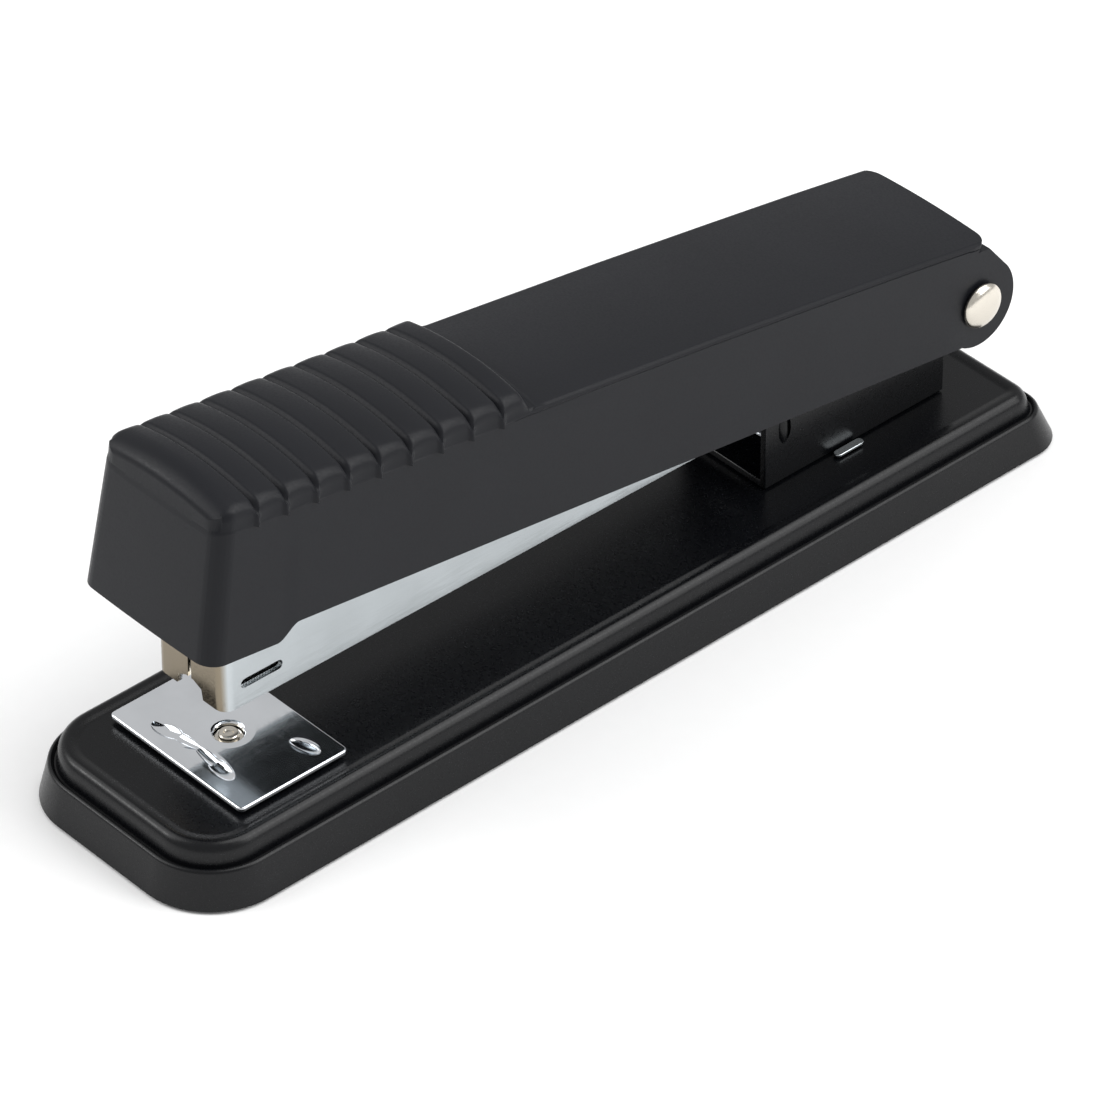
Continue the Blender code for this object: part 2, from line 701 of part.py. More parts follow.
def cover_section(s, wall, groove=0.0):
    """A section across the cover's outside, or across its hollow, at s from the pin."""
    ribbed = s < -93
    ahead = max(s - COVER_NOSE, 0) if wall == 0 else max(s - COVER_NOSE - wall, 0)
    corner = 3.6 - wall
    pull = 0.0
    if ahead < corner:
        pull = corner - math.sqrt(corner**2 - (corner - ahead) ** 2)
    half_bottom = COVER_HALF_BOTTOM - wall - pull
    half_top = COVER_HALF_TOP - wall - pull
    radius = (2.4 if ribbed else 1.3) - wall * 0.3
    crown = 1.0 if ribbed else 0.4
    top = cover_top(s) - wall - groove - 0.8 * pull
    if wall:
        bottom = -14.0
    elif s < -140.5:
        bottom = COVER_NOSE_BOTTOM
    elif s <= EAR_FOOT:
        bottom = COVER_BOTTOM
    else:
        bottom = -COVER_EAR - 1
    half = [(half_bottom, bottom)]
    half += arc((half_top - radius, top - radius), radius, 0, 90, 4)
    width = half_top - radius
    half += [(width * f, top + crown * (1 - f * f)) for f in (0.66, 0.33)]
    points = half + [(0, top + crown)] + [(-x, z) for x, z in half[::-1]]
    lean = max(0.0, 1 - (s - COVER_NOSE) / 16) * 2.2 / 23.2
    return [(x, s + lean * (z - COVER_NOSE_BOTTOM), z) for x, z in points]


def make_cover():
    stations = [(COVER_NOSE + d, 0) for d in (0, 0.4, 1.2, 2.4, 3.8, 5.6)]
    for n in range(RIB_COUNT):
        groove = RIB_FIRST + RIB_PITCH * n
        stations += [(groove - 0.9, 0), (groove, RIB_DEPTH), (groove + 0.9, 0)]
    stations += [(s, 0) for s in (-91.9, -60, -30, EAR_FOOT, EAR_FOOT + 0.2, 12)]
    stations += [(-141.9, 0), (-139.2, 0)]
    rings = [cover_section(s, 0, groove) for s, groove in sorted(stations)]
    cover = loft("top_cover", rings, HANDLE)
    nose = COVER_NOSE + COVER_WALL
    hollow_at = [nose, nose + 0.5, nose + 1.9, -148, -101, -91.9, -60, -30, 14]
    hollow = [cover_section(s, COVER_WALL) for s in hollow_at]
    cut(cover, loft("cover_hollow", hollow, HANDLE))
    rear = [EAR_CORNER, (COVER_REAR, EAR_CORNER[1]), (COVER_REAR, 40), (40, 40)]
    rear += [(40, -40), (EAR_FOOT, -40)]
    rear += arc((0, 0), COVER_EAR, EAR_ANGLE, EAR_TANGENT, 14)
    cut(cover, slab("cover_rear", "YZ", rear, -30, 30, HANDLE))
    cut(cover, pin_drill(HANDLE))
    for s in SCREW_STATIONS:
        ceiling = cover_top(s) - COVER_WALL
        boss = slab("boss", "XY", ring((0, s), 3.2, 16), FRAME_TOP + GAP, ceiling + 1, HANDLE)
        join(cover, boss)
        cut(cover, drill("XY", (0, s), 1.4, 0, ceiling + 0.2, HANDLE))
    finish_part(cover, COVER_PAINT)

    for end, s in zip(("front", "rear"), SCREW_STATIONS):
        tip = cover_top(s) - COVER_WALL - 0.1
        under = FRAME_TOP - FRAME_SHEET - GAP
        profile = [(0, tip), (0.6, tip), (1.1, tip - 0.6), (1.1, under), (2.5, under)]
        profile += [(2.5, under - 0.9), (1.7, under - 1.6), (0, under - 1.6)]
        screw = turned("cover_screw_" + end, profile, HANDLE, centre=(0, s, 0), steps=16)
        finish_part(screw, ZINC)


def make_frame():
    side = [(-150, 2), (-125, -5.2), (-20, -5.2)]
    side += arc((0, 0), 5.4, -100, 50, 10)
    side += [(-0.4, FRAME_TOP), (-150, FRAME_TOP)]
    handle = slab("handle_frame", "YZ", side, -FRAME_HALF, FRAME_HALF, HANDLE)
    inner = FRAME_HALF - FRAME_SHEET
    inside = box_outline((-170, -20), (20, FRAME_TOP - FRAME_SHEET))
    cut(handle, slab("frame_inside", "YZ", inside, -inner, inner, HANDLE))
    opening = box_outline((-inner, -0.4), (inner, 20))
    cut(handle, slab("frame_rear", "XY", opening, -20, 20, HANDLE))
    cut(handle, pin_drill(HANDLE))
    for s in SCREW_STATIONS:
        cut(handle, drill("XY", (0, s), 1.4, 0, 20, HANDLE))
    flange = box_outline((-6.5, 9.6), (6.5, 19.6))
    back = -(BLADE_FRONT + BLADE_THICK + GAP)
    join(handle, slab("blade_flange", "XZ", flange, back - 1.1, back, DRIVER))
    holes = [ring((x, DRIVER_RIVET_Z), 1.2, 12) for x in (-DRIVER_RIVET_X, DRIVER_RIVET_X)]
    for hole in holes:
        cut(handle, slab("rivet_hole", "XZ", hole, back - 9, back + 9, DRIVER))
    finish_part(handle, ZINC)

    blade = box_outline((-BLADE_HALF, BLADE_TIP), (BLADE_HALF, BLADE_TOP))
    ends = (-BLADE_FRONT - BLADE_THICK, -BLADE_FRONT)
    driver = slab("driver_blade", "XZ", blade, *ends, DRIVER, holes)
    finish_part(driver, SPRING_STEEL)

    for side, x in (("left", -DRIVER_RIVET_X), ("right", DRIVER_RIVET_X)):
        rear = -back + 1.1 + GAP
        front = BLADE_FRONT - GAP
        profile = [(0, rear + 0.7), (1.7, rear + 0.7), (1.8, rear), (1.0, rear)]
        profile += [(1.0, front), (1.8, front), (1.7, front - 0.6), (0, front - 0.6)]
        place = (x, 0, DRIVER_RIVET_Z)
        rivet = turned("driver_rivet_" + side, profile, DRIVER, "Y", place, 12)
        finish_part(rivet, ZINC)


clear_scene()
PARTS = collection("desktop_stapler")
CUTTERS = collection("cutters")
make_base()
make_staking_tabs()
make_bracket()
make_return_spring()
make_anvil()
make_pin()
make_magazine()
make_rail()
make_staples()
make_pusher()
make_lid()
make_cover()
make_frame()
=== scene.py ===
"""A full-strip desktop stapler: the visible pieces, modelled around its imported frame."""
import json
import math

import bmesh
import bpy
from bpy.props import FloatProperty, FloatVectorProperty, IntProperty, PointerProperty
from mathutils import Matrix, Vector

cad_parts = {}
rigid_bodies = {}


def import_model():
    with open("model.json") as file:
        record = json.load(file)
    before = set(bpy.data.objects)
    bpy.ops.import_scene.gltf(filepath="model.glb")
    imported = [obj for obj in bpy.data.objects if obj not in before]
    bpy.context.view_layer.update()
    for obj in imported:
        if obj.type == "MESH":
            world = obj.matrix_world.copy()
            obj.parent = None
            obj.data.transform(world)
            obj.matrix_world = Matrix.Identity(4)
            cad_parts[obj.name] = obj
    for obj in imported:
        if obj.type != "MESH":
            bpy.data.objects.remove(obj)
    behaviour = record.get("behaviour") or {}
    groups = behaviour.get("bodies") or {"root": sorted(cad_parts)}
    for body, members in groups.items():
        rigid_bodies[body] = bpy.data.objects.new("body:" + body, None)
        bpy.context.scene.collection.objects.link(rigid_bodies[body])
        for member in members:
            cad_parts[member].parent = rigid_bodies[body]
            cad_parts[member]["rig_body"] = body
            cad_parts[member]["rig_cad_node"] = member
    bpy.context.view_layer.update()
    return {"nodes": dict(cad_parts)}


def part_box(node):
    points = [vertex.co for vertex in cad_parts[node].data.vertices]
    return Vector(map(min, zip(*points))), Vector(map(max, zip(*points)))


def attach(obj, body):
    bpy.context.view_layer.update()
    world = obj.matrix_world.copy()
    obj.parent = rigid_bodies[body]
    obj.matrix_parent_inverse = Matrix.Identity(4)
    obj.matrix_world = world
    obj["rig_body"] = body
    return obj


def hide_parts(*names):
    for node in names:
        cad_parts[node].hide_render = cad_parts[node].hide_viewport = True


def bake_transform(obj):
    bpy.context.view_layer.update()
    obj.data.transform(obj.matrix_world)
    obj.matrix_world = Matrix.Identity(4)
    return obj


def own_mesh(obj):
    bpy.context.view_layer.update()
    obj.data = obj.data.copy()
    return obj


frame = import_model()

bl_info = {
    "name": "Desktop stapler",
    "version": (1, 0, 0),
    "blender": (4, 5, 0),
    "location": "View3D > Sidebar > Stapler",
    "description": "Models the visible pieces of a full-strip desktop stapler around its frame",
    "category": "Object",
}

MM = 0.001  # pieces are modelled in millimetres and brought to metres when they are placed


def linear(hex_colour):
    """An sRGB colour such as "3c3c40" as the linear values that a shader takes."""
    values = [int(hex_colour[n : n + 2], 16) / 255 for n in (0, 2, 4)]
    return [v / 12.92 if v <= 0.04045 else ((v + 0.055) / 1.055) ** 2.4 for v in values]


# Frames


def pin_centre():
    low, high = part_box("hinge_pin")
    return (low + high) / 2


def tipped(tilt):
    """A frame at the hinge pin's centre, tipped nose-up by tilt radians."""
    at_pin = Matrix.Translation((0, pin_centre().y, pin_centre().z))
    return at_pin @ Matrix.Rotation(-tilt, 4, "X")


def node_frame(node):
    """A level frame at the middle of a node, at table height."""
    low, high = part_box(node)
    return Matrix.Translation(((low.x + high.x) / 2, (low.y + high.y) / 2, 0))


LEVEL = Matrix.Identity(4)

# Modelling by hand: each helper works on the active piece and leaves object mode on


def alone(piece):
    if bpy.context.mode != "OBJECT":
        bpy.ops.object.mode_set(mode="OBJECT")
    bpy.ops.object.select_all(action="DESELECT")
    piece.select_set(True)
    bpy.context.view_layer.objects.active = piece
    return piece


def nothing_selected():
    if bpy.context.mode != "OBJECT":
        bpy.ops.object.mode_set(mode="OBJECT")
    bpy.ops.object.select_all(action="DESELECT")


def begun(name):
    """Name the primitive that was just added and apply its place."""
    piece = bpy.context.object
    piece.name = name
    piece.data.name = name
    bpy.ops.object.transform_apply(location=True, rotation=True, scale=True)
    return piece


def box(name, low, high):
    nothing_selected()
    middle = [(a + b) / 2 for a, b in zip(low, high)]
    size = [b - a for a, b in zip(low, high)]
    bpy.ops.mesh.primitive_cube_add(size=1, location=middle, scale=size)
    return begun(name)


TURNS = {"X": (0, math.pi / 2, 0), "Y": (-math.pi / 2, 0, 0), "Z": (0, 0, 0)}


def along(axis, centre, distance):
    place = list(centre)
    place["XYZ".index(axis)] = distance
    return place


def rod(name, axis, centre, radius, low, high, sides=48):
    """A cylinder along an axis, from one height along it to another."""
    nothing_selected()
    bpy.ops.mesh.primitive_cylinder_add(
        vertices=sides,
        radius=radius,
        depth=high - low,
        location=along(axis, centre, (low + high) / 2),
        rotation=TURNS[axis],
    )
    return begun(name)


def ball(name, centre, radii, turn=0.0):
    """An ellipsoid, turned about Z by an angle in radians."""
    nothing_selected()
    bpy.ops.mesh.primitive_uv_sphere_add(
        segments=40,
        ring_count=20,
        radius=1,
        location=centre,
        rotation=(0, 0, turn),
        scale=radii,
    )
    return begun(name)


def turned(name, profile, axis="Z", centre=(0, 0, 0), sides=48):
    """A round piece from (radius, height) pairs, its circle extruded and resized in steps."""
    nothing_selected()
    radius, height = profile[0]
    bpy.ops.mesh.primitive_circle_add(
        vertices=sides, radius=radius, fill_type="NGON", location=(0, 0, height)
    )
    piece = begun(name)
    bpy.ops.object.mode_set(mode="EDIT")
    bpy.ops.mesh.select_mode(type="FACE")
    bpy.ops.mesh.select_all(action="SELECT")
    for (r0, h0), (r1, h1) in zip(profile, profile[1:]):
        step = {"value": (0, 0, h1 - h0)}
        bpy.ops.mesh.extrude_region_move(TRANSFORM_OT_translate=step)
        bpy.ops.transform.resize(value=(r1 / r0, r1 / r0, 1))
    bpy.ops.mesh.select_all(action="SELECT")
    bpy.ops.mesh.normals_make_consistent(inside=False)
    bpy.ops.object.mode_set(mode="OBJECT")
    turn = Matrix.Rotation(math.pi / 2, 4, "Y") if axis == "X" else Matrix.Identity(4)
    if axis == "Y":
        turn = Matrix.Rotation(-math.pi / 2, 4, "X")
    piece.data.transform(Matrix.Translation(centre) @ turn)
    return piece


def dome(radius, base, height, steps=10, tip=0.06):
    """(radius, height) pairs from a dome's rim up to its small flat tip."""
    angles = [math.pi / 2 * n / steps for n in range(steps + 1)]
    return [
        (max(radius * math.cos(a), radius * tip), base + height * math.sin(a))
        for a in angles
    ]


def pick(kind, test):
    """In edit mode, select only the faces, edges or points that pass a test."""
    bpy.ops.mesh.select_mode(type=kind)
    bpy.ops.mesh.select_all(action="DESELECT")
    mesh = bpy.context.edit_object.data
    shape = bmesh.from_edit_mesh(mesh)
    parts = {"FACE": shape.faces, "EDGE": shape.edges, "VERT": shape.verts}[kind]
    for part in parts:
        if test(part):
            part.select_set(True)
    bmesh.update_edit_mesh(mesh)


def upright(edge):
    a, b = (v.co for v in edge.verts)
    return abs(a.x - b.x) < 0.001 and abs(a.y - b.y) < 0.001


def middle(edge):
    return (edge.verts[0].co + edge.verts[1].co) / 2


def round_edges(piece, test, width, segments):
    alone(piece)
    bpy.ops.object.mode_set(mode="EDIT")
    pick("EDGE", test)
    bpy.ops.mesh.bevel(offset=width, segments=segments, affect="EDGES")
    bpy.ops.object.mode_set(mode="OBJECT")
    return piece


def bisected(piece, axis, stations):
    """Cut edge loops round a piece where planes across an axis meet it."""
    normal = [1.0 if letter == axis else 0.0 for letter in "XYZ"]
    alone(piece)
    bpy.ops.object.mode_set(mode="EDIT")
    for station in stations:
        bpy.ops.mesh.select_all(action="SELECT")
        bpy.ops.mesh.bisect(plane_co=[n * station for n in normal], plane_no=normal)
    bpy.ops.object.mode_set(mode="OBJECT")
    return piece


def shaped(piece, move):
    """Move each point of a piece to where a function of its place says."""
    for vertex in piece.data.vertices:
        vertex.co = move(vertex.co)
    piece.data.update()
    return piece


def applied(piece, kind, **settings):
    modifier = piece.modifiers.new(kind.lower(), kind)
    for name, value in settings.items():
        setattr(modifier, name, value)
    alone(piece)
    bpy.ops.object.modifier_apply(modifier=modifier.name)
    return piece


def combined(piece, tool, operation):
    applied(piece, "BOOLEAN", object=tool, operation=operation, solver="EXACT")
    bpy.data.objects.remove(tool)
    return piece


def cut(piece, *tools):
    for tool in tools:
        combined(piece, tool, "DIFFERENCE")
    return piece


def joined(piece, *tools):
    for tool in tools:
        combined(piece, tool, "UNION")
    return piece


def softened(piece, width, segments=2, angle=35):
    """Break a pressed or moulded piece's sharp edges with a small round."""
    applied(
        piece,
        "BEVEL",
        width=width,
        segments=segments,
        limit_method="ANGLE",
        angle_limit=math.radians(angle),
        use_clamp_overlap=True,
        harden_normals=False,
    )
    return piece


def cleaned(piece, angle=0.5):
    """Merge doubles and melt the needless edges of flat faces."""
    alone(piece)
    bpy.ops.object.mode_set(mode="EDIT")
    bpy.ops.mesh.select_all(action="SELECT")
    bpy.ops.mesh.remove_doubles(threshold=0.002)
    bpy.ops.mesh.dissolve_limited(angle_limit=math.radians(angle))
    bpy.ops.object.mode_set(mode="OBJECT")
    return piece


def refined(node, width, segments=2):
    """A copy of a frame node in millimetres, merged, with its edges rounded."""
    nothing_selected()
    copy = frame["nodes"][node].copy()
    copy.data = copy.data.copy()
    copy.parent = None
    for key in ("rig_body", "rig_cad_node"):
        del copy[key]
    copy.name = node + "_fine"
    bpy.context.scene.collection.objects.link(copy)
    copy.data.transform(Matrix.Scale(1 / MM, 4))
    cleaned(copy)
    softened(copy, width, segments)
    return copy


def shown(piece, body, finish, slot, *nodes, place=LEVEL, angle=30):
    """Put a finished piece in place, give it its material and tie it to its body, if it has one."""
    alone(piece)
    piece.data.transform(place @ Matrix.Scale(MM, 4))
    bpy.ops.object.shade_smooth_by_angle(angle=math.radians(angle))
    applied(piece, "WEIGHTED_NORMAL", mode="FACE_AREA", keep_sharp=True)
    piece.data.materials.clear()
    piece.data.materials.append(finish)
    if body:
        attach(piece, body)
    if nodes:
        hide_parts(*nodes)
    return piece


# Materials


def add_node(tree, kind, links=(), **settings):
    """Add a shader node, set its properties and sockets, and link others into it."""
    node = tree.nodes.new(kind)
    for name, value in settings.items():
        if hasattr(node, name):
            setattr(node, name, value)
        else:
            node.inputs[name.replace("_", " ")].default_value = value
    for source, output, target in links:
        tree.links.new(source.outputs[output], node.inputs[target])
    return node


def new_material(name):
    made = bpy.data.materials.new(name)
    made.use_nodes = True
    tree = made.node_tree
    shader = tree.nodes["Principled BSDF"]
    place = add_node(tree, "ShaderNodeTexCoord")
    return made, tree, shader, place


def grain(tree, place, size_mm, detail=2.0, stretch=(1, 1, 1)):
    """Noise whose grains are about size_mm across, drawn out along an axis if asked."""
    scale = [1 / (size_mm * MM * s) for s in stretch]
    spread = add_node(tree, "ShaderNodeMapping", [(place, "Object", "Vector")], Scale=scale)
    links = [(spread, "Vector", "Vector")]
    return add_node(tree, "ShaderNodeTexNoise", links, Scale=1.0, Detail=detail)


def blended(tree, shader, socket, factor, low, high, start=0.35, stop=0.65):
    """Let a noise carry a shader's colour between two hues, or its roughness between two."""
    if socket == "Base Color":
        ramp = add_node(tree, "ShaderNodeValToRGB", [(factor, "Fac", "Fac")])
        ramp.color_ramp.elements[0].position = start
        ramp.color_ramp.elements[1].position = stop
        ramp.color_ramp.elements[0].color = (*low, 1)
        ramp.color_ramp.elements[1].color = (*high, 1)
        tree.links.new(ramp.outputs["Color"], shader.inputs[socket])
        return ramp
    spread = add_node(tree, "ShaderNodeMapRange", [(factor, "Fac", "Value")])
    spread.inputs["From Min"].default_value = start
    spread.inputs["From Max"].default_value = stop
    spread.inputs["To Min"].default_value = low
    spread.inputs["To Max"].default_value = high
    tree.links.new(spread.outputs["Result"], shader.inputs[socket])
    return spread


def bumped(tree, shader, height, strength, depth_mm, below=None):
    links = [(height, "Fac", "Height")]
    if below:
        links.append((below, "Normal", "Normal"))
    bump = add_node(tree, "ShaderNodeBump", links, Strength=strength, Distance=depth_mm * MM)
    tree.links.new(bump.outputs["Normal"], shader.inputs["Normal"])
    return bump


def shade(colour, factor):
    return [min(c * factor, 1) for c in colour]


def moulded_plastic(name, colour, rough, grain_mm):
    """Injection-moulded ABS: even colour, and a fine spark-eroded grain that dulls its sheen."""
    made, tree, shader, place = new_material(name)
    clouds = grain(tree, place, 22)
    blended(tree, shader, "Base Color", clouds, shade(colour, 0.94), shade(colour, 1.06))
    fine = grain(tree, place, grain_mm, detail=3.0)
    blended(tree, shader, "Roughness", fine, rough - 0.05, rough + 0.07)
    bumped(tree, shader, fine, 0.16, 0.03)
    shader.inputs["IOR"].default_value = 1.28
    return made


def stoved_enamel(name, colour):
    """Stoved black enamel on pressed steel: smooth gloss over a faint orange peel."""
    made, tree, shader, place = new_material(name)
    clouds = grain(tree, place, 30)
    blended(tree, shader, "Base Color", clouds, shade(colour, 0.92), shade(colour, 1.08))
    fine = grain(tree, place, 0.5, detail=2.0)
    blended(tree, shader, "Roughness", fine, 0.26, 0.33)
    peel = grain(tree, place, 1.6, detail=1.0)
    bumped(tree, shader, peel, 0.06, 0.02)
    shader.inputs["IOR"].default_value = 1.36
    return made


def plated_metal(name, colour, rough, grain_mm, stretch=(1, 1, 1), depth_mm=0.004):
    """Plated or bare steel sheet: fine rolling or tumbling marks, and cloudy handling marks."""
    made, tree, shader, place = new_material(name)
    shader.inputs["Metallic"].default_value = 1.0
    clouds = grain(tree, place, 9, detail=3.0)
    blended(tree, shader, "Base Color", clouds, shade(colour, 0.95), shade(colour, 1.03))
    marks = grain(tree, place, grain_mm, detail=4.0, stretch=stretch)
    blended(tree, shader, "Roughness", marks, rough * 0.75, rough * 1.35)
    bumped(tree, shader, marks, 0.25, depth_mm)
    return made


def rubber(name, colour):
    """Calendered non-slip rubber: dull, with a close leathery press mark."""
    made, tree, shader, place = new_material(name)
    links = [(place, "Object", "Vector")]
    cells = add_node(tree, "ShaderNodeTexVoronoi", links, Scale=1 / (0.9 * MM))
    fine = grain(tree, place, 0.3, detail=3.0)
    blended(tree, shader, "Base Color", fine, shade(colour, 0.85), shade(colour, 1.15))
    blended(tree, shader, "Roughness", fine, 0.72, 0.88)
    bump = add_node(
        tree, "ShaderNodeBump", [(cells, "Distance", "Height")], Strength=0.3, Distance=0.1 * MM
    )
    tree.links.new(bump.outputs["Normal"], shader.inputs["Normal"])
    return made


def tinted_front(made, colour, nose_y):
    """Add the straw-brown lacquer left on the two tabs in front of the driver."""
    tree = made.node_tree
    shader = tree.nodes["Principled BSDF"]
    place = add_node(tree, "ShaderNodeTexCoord")
    axes = add_node(tree, "ShaderNodeSeparateXYZ", [(place, "Object", "Vector")])
    front = add_node(
        tree,
        "ShaderNodeMapRange",
        [(axes, "Y", "Value")],
        From_Min=nose_y + 0.35 * MM,
        From_Max=nose_y + 1.1 * MM,
        To_Min=1.0,
        To_Max=0.0,
    )
    plain = shader.inputs["Base Color"].links[0].from_socket
    mix = add_node(tree, "ShaderNodeMix", [(front, "Result", "Factor")], data_type="RGBA")
    tree.links.new(plain, mix.inputs["A"])
    mix.inputs["B"].default_value = (*colour, 1)
    tree.links.new(mix.outputs["Result"], shader.inputs["Base Color"])
    return made


FINISHES = {}
ROLLED_ALONG = (1, 14, 1)  # how far a metal's rolling marks are drawn out along each axis
ROLLED_ACROSS = (8, 1, 1)
ROLLED_ZINC = (1, 10, 1)
ROLLED_SPRING = (1, 12, 1)


def finish(name):
    """The stapler's materials, each made once from the panel's colours."""
    if name in FINISHES:
        return FINISHES[name]
    hues = bpy.context.scene.stapler_finish
    chrome, mirror, zinc, spring = (linear(h) for h in ("bfc5c8", "eff2f6", "b4b7bb", "b4b6ba"))
    makers = {
        "cover": lambda: moulded_plastic("charcoal_abs_satin", hues.cover, 0.38, 0.35),
        "nylon": lambda: moulded_plastic("black_nylon", linear("1a1a1c"), 0.5, 0.5),
        "enamel": lambda: stoved_enamel("stoved_black_enamel", hues.base),
        "chrome": lambda: plated_metal("bright_chrome_plate", chrome, 0.15, 0.4, ROLLED_ALONG),
        "anvil": lambda: plated_metal("polished_chrome_plate", mirror, 0.07, 0.6, ROLLED_ACROSS),
        "nickel": lambda: plated_metal("tumbled_satin_nickel", hues.pin, 0.2, 0.6),
        "zinc": lambda: plated_metal("bright_zinc_plate", zinc, 0.32, 0.4, ROLLED_ZINC),
        "spring": lambda: plated_metal("blued_spring_steel", spring, 0.22, 0.3, ROLLED_SPRING),
        "wire": lambda: plated_metal("galvanised_wire", linear("c6c7c8"), 0.24, 0.2),
        "rubber": lambda: rubber("calendered_rubber", linear("161617")),
    }
    FINISHES[name] = makers[name]()
    return FINISHES[name]


# Pieces


def make_base():
    """The pressed base pan, with its skirt, groove and rounded ridge, and the pad under it."""
    sizes = bpy.context.scene.stapler_sizes
    low, high = (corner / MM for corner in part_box("base_pan"))
    foot = low.z
    pan = box("base_shell", (low.x, low.y, foot - 1), (high.x, high.y, foot))
    front = lambda e: upright(e) and middle(e).y < 0
    rear = lambda e: upright(e) and middle(e).y > 0
    round_edges(pan, front, sizes.corner_front / MM, 20)
    round_edges(pan, rear, sizes.corner_rear / MM, 12)

    def crown(start, stop, z_start, z_stop, steps):
        """A quarter round in the wall's profile, as (inset, height) pairs."""
        turns = [math.pi / 2 * (n + 1) / steps for n in range(steps)]
        return [
            (start + (stop - start) * (1 - math.cos(t)), z_start + (z_stop - z_start) * math.sin(t))
            for t in turns
        ]

    ridge = high.z
    profile = [(0.0, foot), (1.42, foot + 5.7)]
    profile += crown(1.42, 2.0, foot + 5.7, foot + 6.35, 5)
    profile += [(2.3, foot + 6.1), (2.5, foot + 5.85), (2.75, foot + 5.85), (2.9, foot + 6.3)]
    profile += [(3.0, foot + 7.0), (3.08, foot + 7.6)]
    profile += crown(3.08, 4.7, foot + 7.6, ridge, 9)
    profile += [(5.1, ridge - 0.04), (5.5, ridge - 0.14), (5.85, ridge - 0.26)]
    profile += [(6.15, ridge - 0.35), (6.45, ridge - 0.4)]
    alone(pan)
    bpy.ops.object.mode_set(mode="EDIT")
    pick("FACE", lambda f: f.normal.z > 0.9)
    for (inset0, z0), (inset1, z1) in zip(profile, profile[1:]):
        bpy.ops.mesh.inset(thickness=inset1 - inset0, depth=z1 - z0, use_even_offset=True)
    pick("FACE", lambda f: f.calc_center_median().z < foot - 0.001)
    bpy.ops.mesh.delete(type="FACE")
    bpy.ops.object.mode_set(mode="OBJECT")

    half_length = (high.y - low.y) / 2

    def pull_rear(co):
        """Slope the rear wall more than the sides."""
        rise = min(max((co.z - foot) / 6.4, 0), 1) + max(co.z - foot - 6.4, 0) * 0.15
        reach = min(max((co.y - half_length * 0.5) / (half_length * 0.5), 0), 1)
        return Vector((co.x, co.y - 1.6 * rise * reach, co.z))

    shaped(pan, pull_rear)
    applied(pan, "SOLIDIFY", thickness=1.1, offset=-1.0, use_even_offset=True)
    spindle_low, spindle_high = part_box("anvil_spindle")
    spindle_y = (spindle_low.y + spindle_high.y) / 2 / MM
    holes = [(spindle_y, 4.5)]
    for node in ("bracket_rivet_front", "bracket_rivet_rear"):
        rivet_low, rivet_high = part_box(node)
        holes.append(((rivet_low.y + rivet_high.y) / 2 / MM, 2.2))
    for y, radius in holes:
        cut(pan, rod("hole", "Z", (0, y, 0), radius, 4, 20))
    for node in ("staking_tab_left", "staking_tab_right"):
        slot_low, slot_high = (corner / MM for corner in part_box(node))
        x = (slot_low.x + slot_high.x) / 2
        y0, y1 = slot_low.y + 0.7, slot_high.y - 0.7
        cut(pan, box("slot", (x - 0.7, y0, 4), (x + 0.7, y1, 20)))
    shown(pan, "base", finish("enamel"), "black_paint", "base_pan", angle=40)

    pad = refined("base_pad", 0.35, 3)
    shown(pad, "base", finish("rubber"), "black_rubber", "base_pad")


ANVIL_HOLE = 2.35


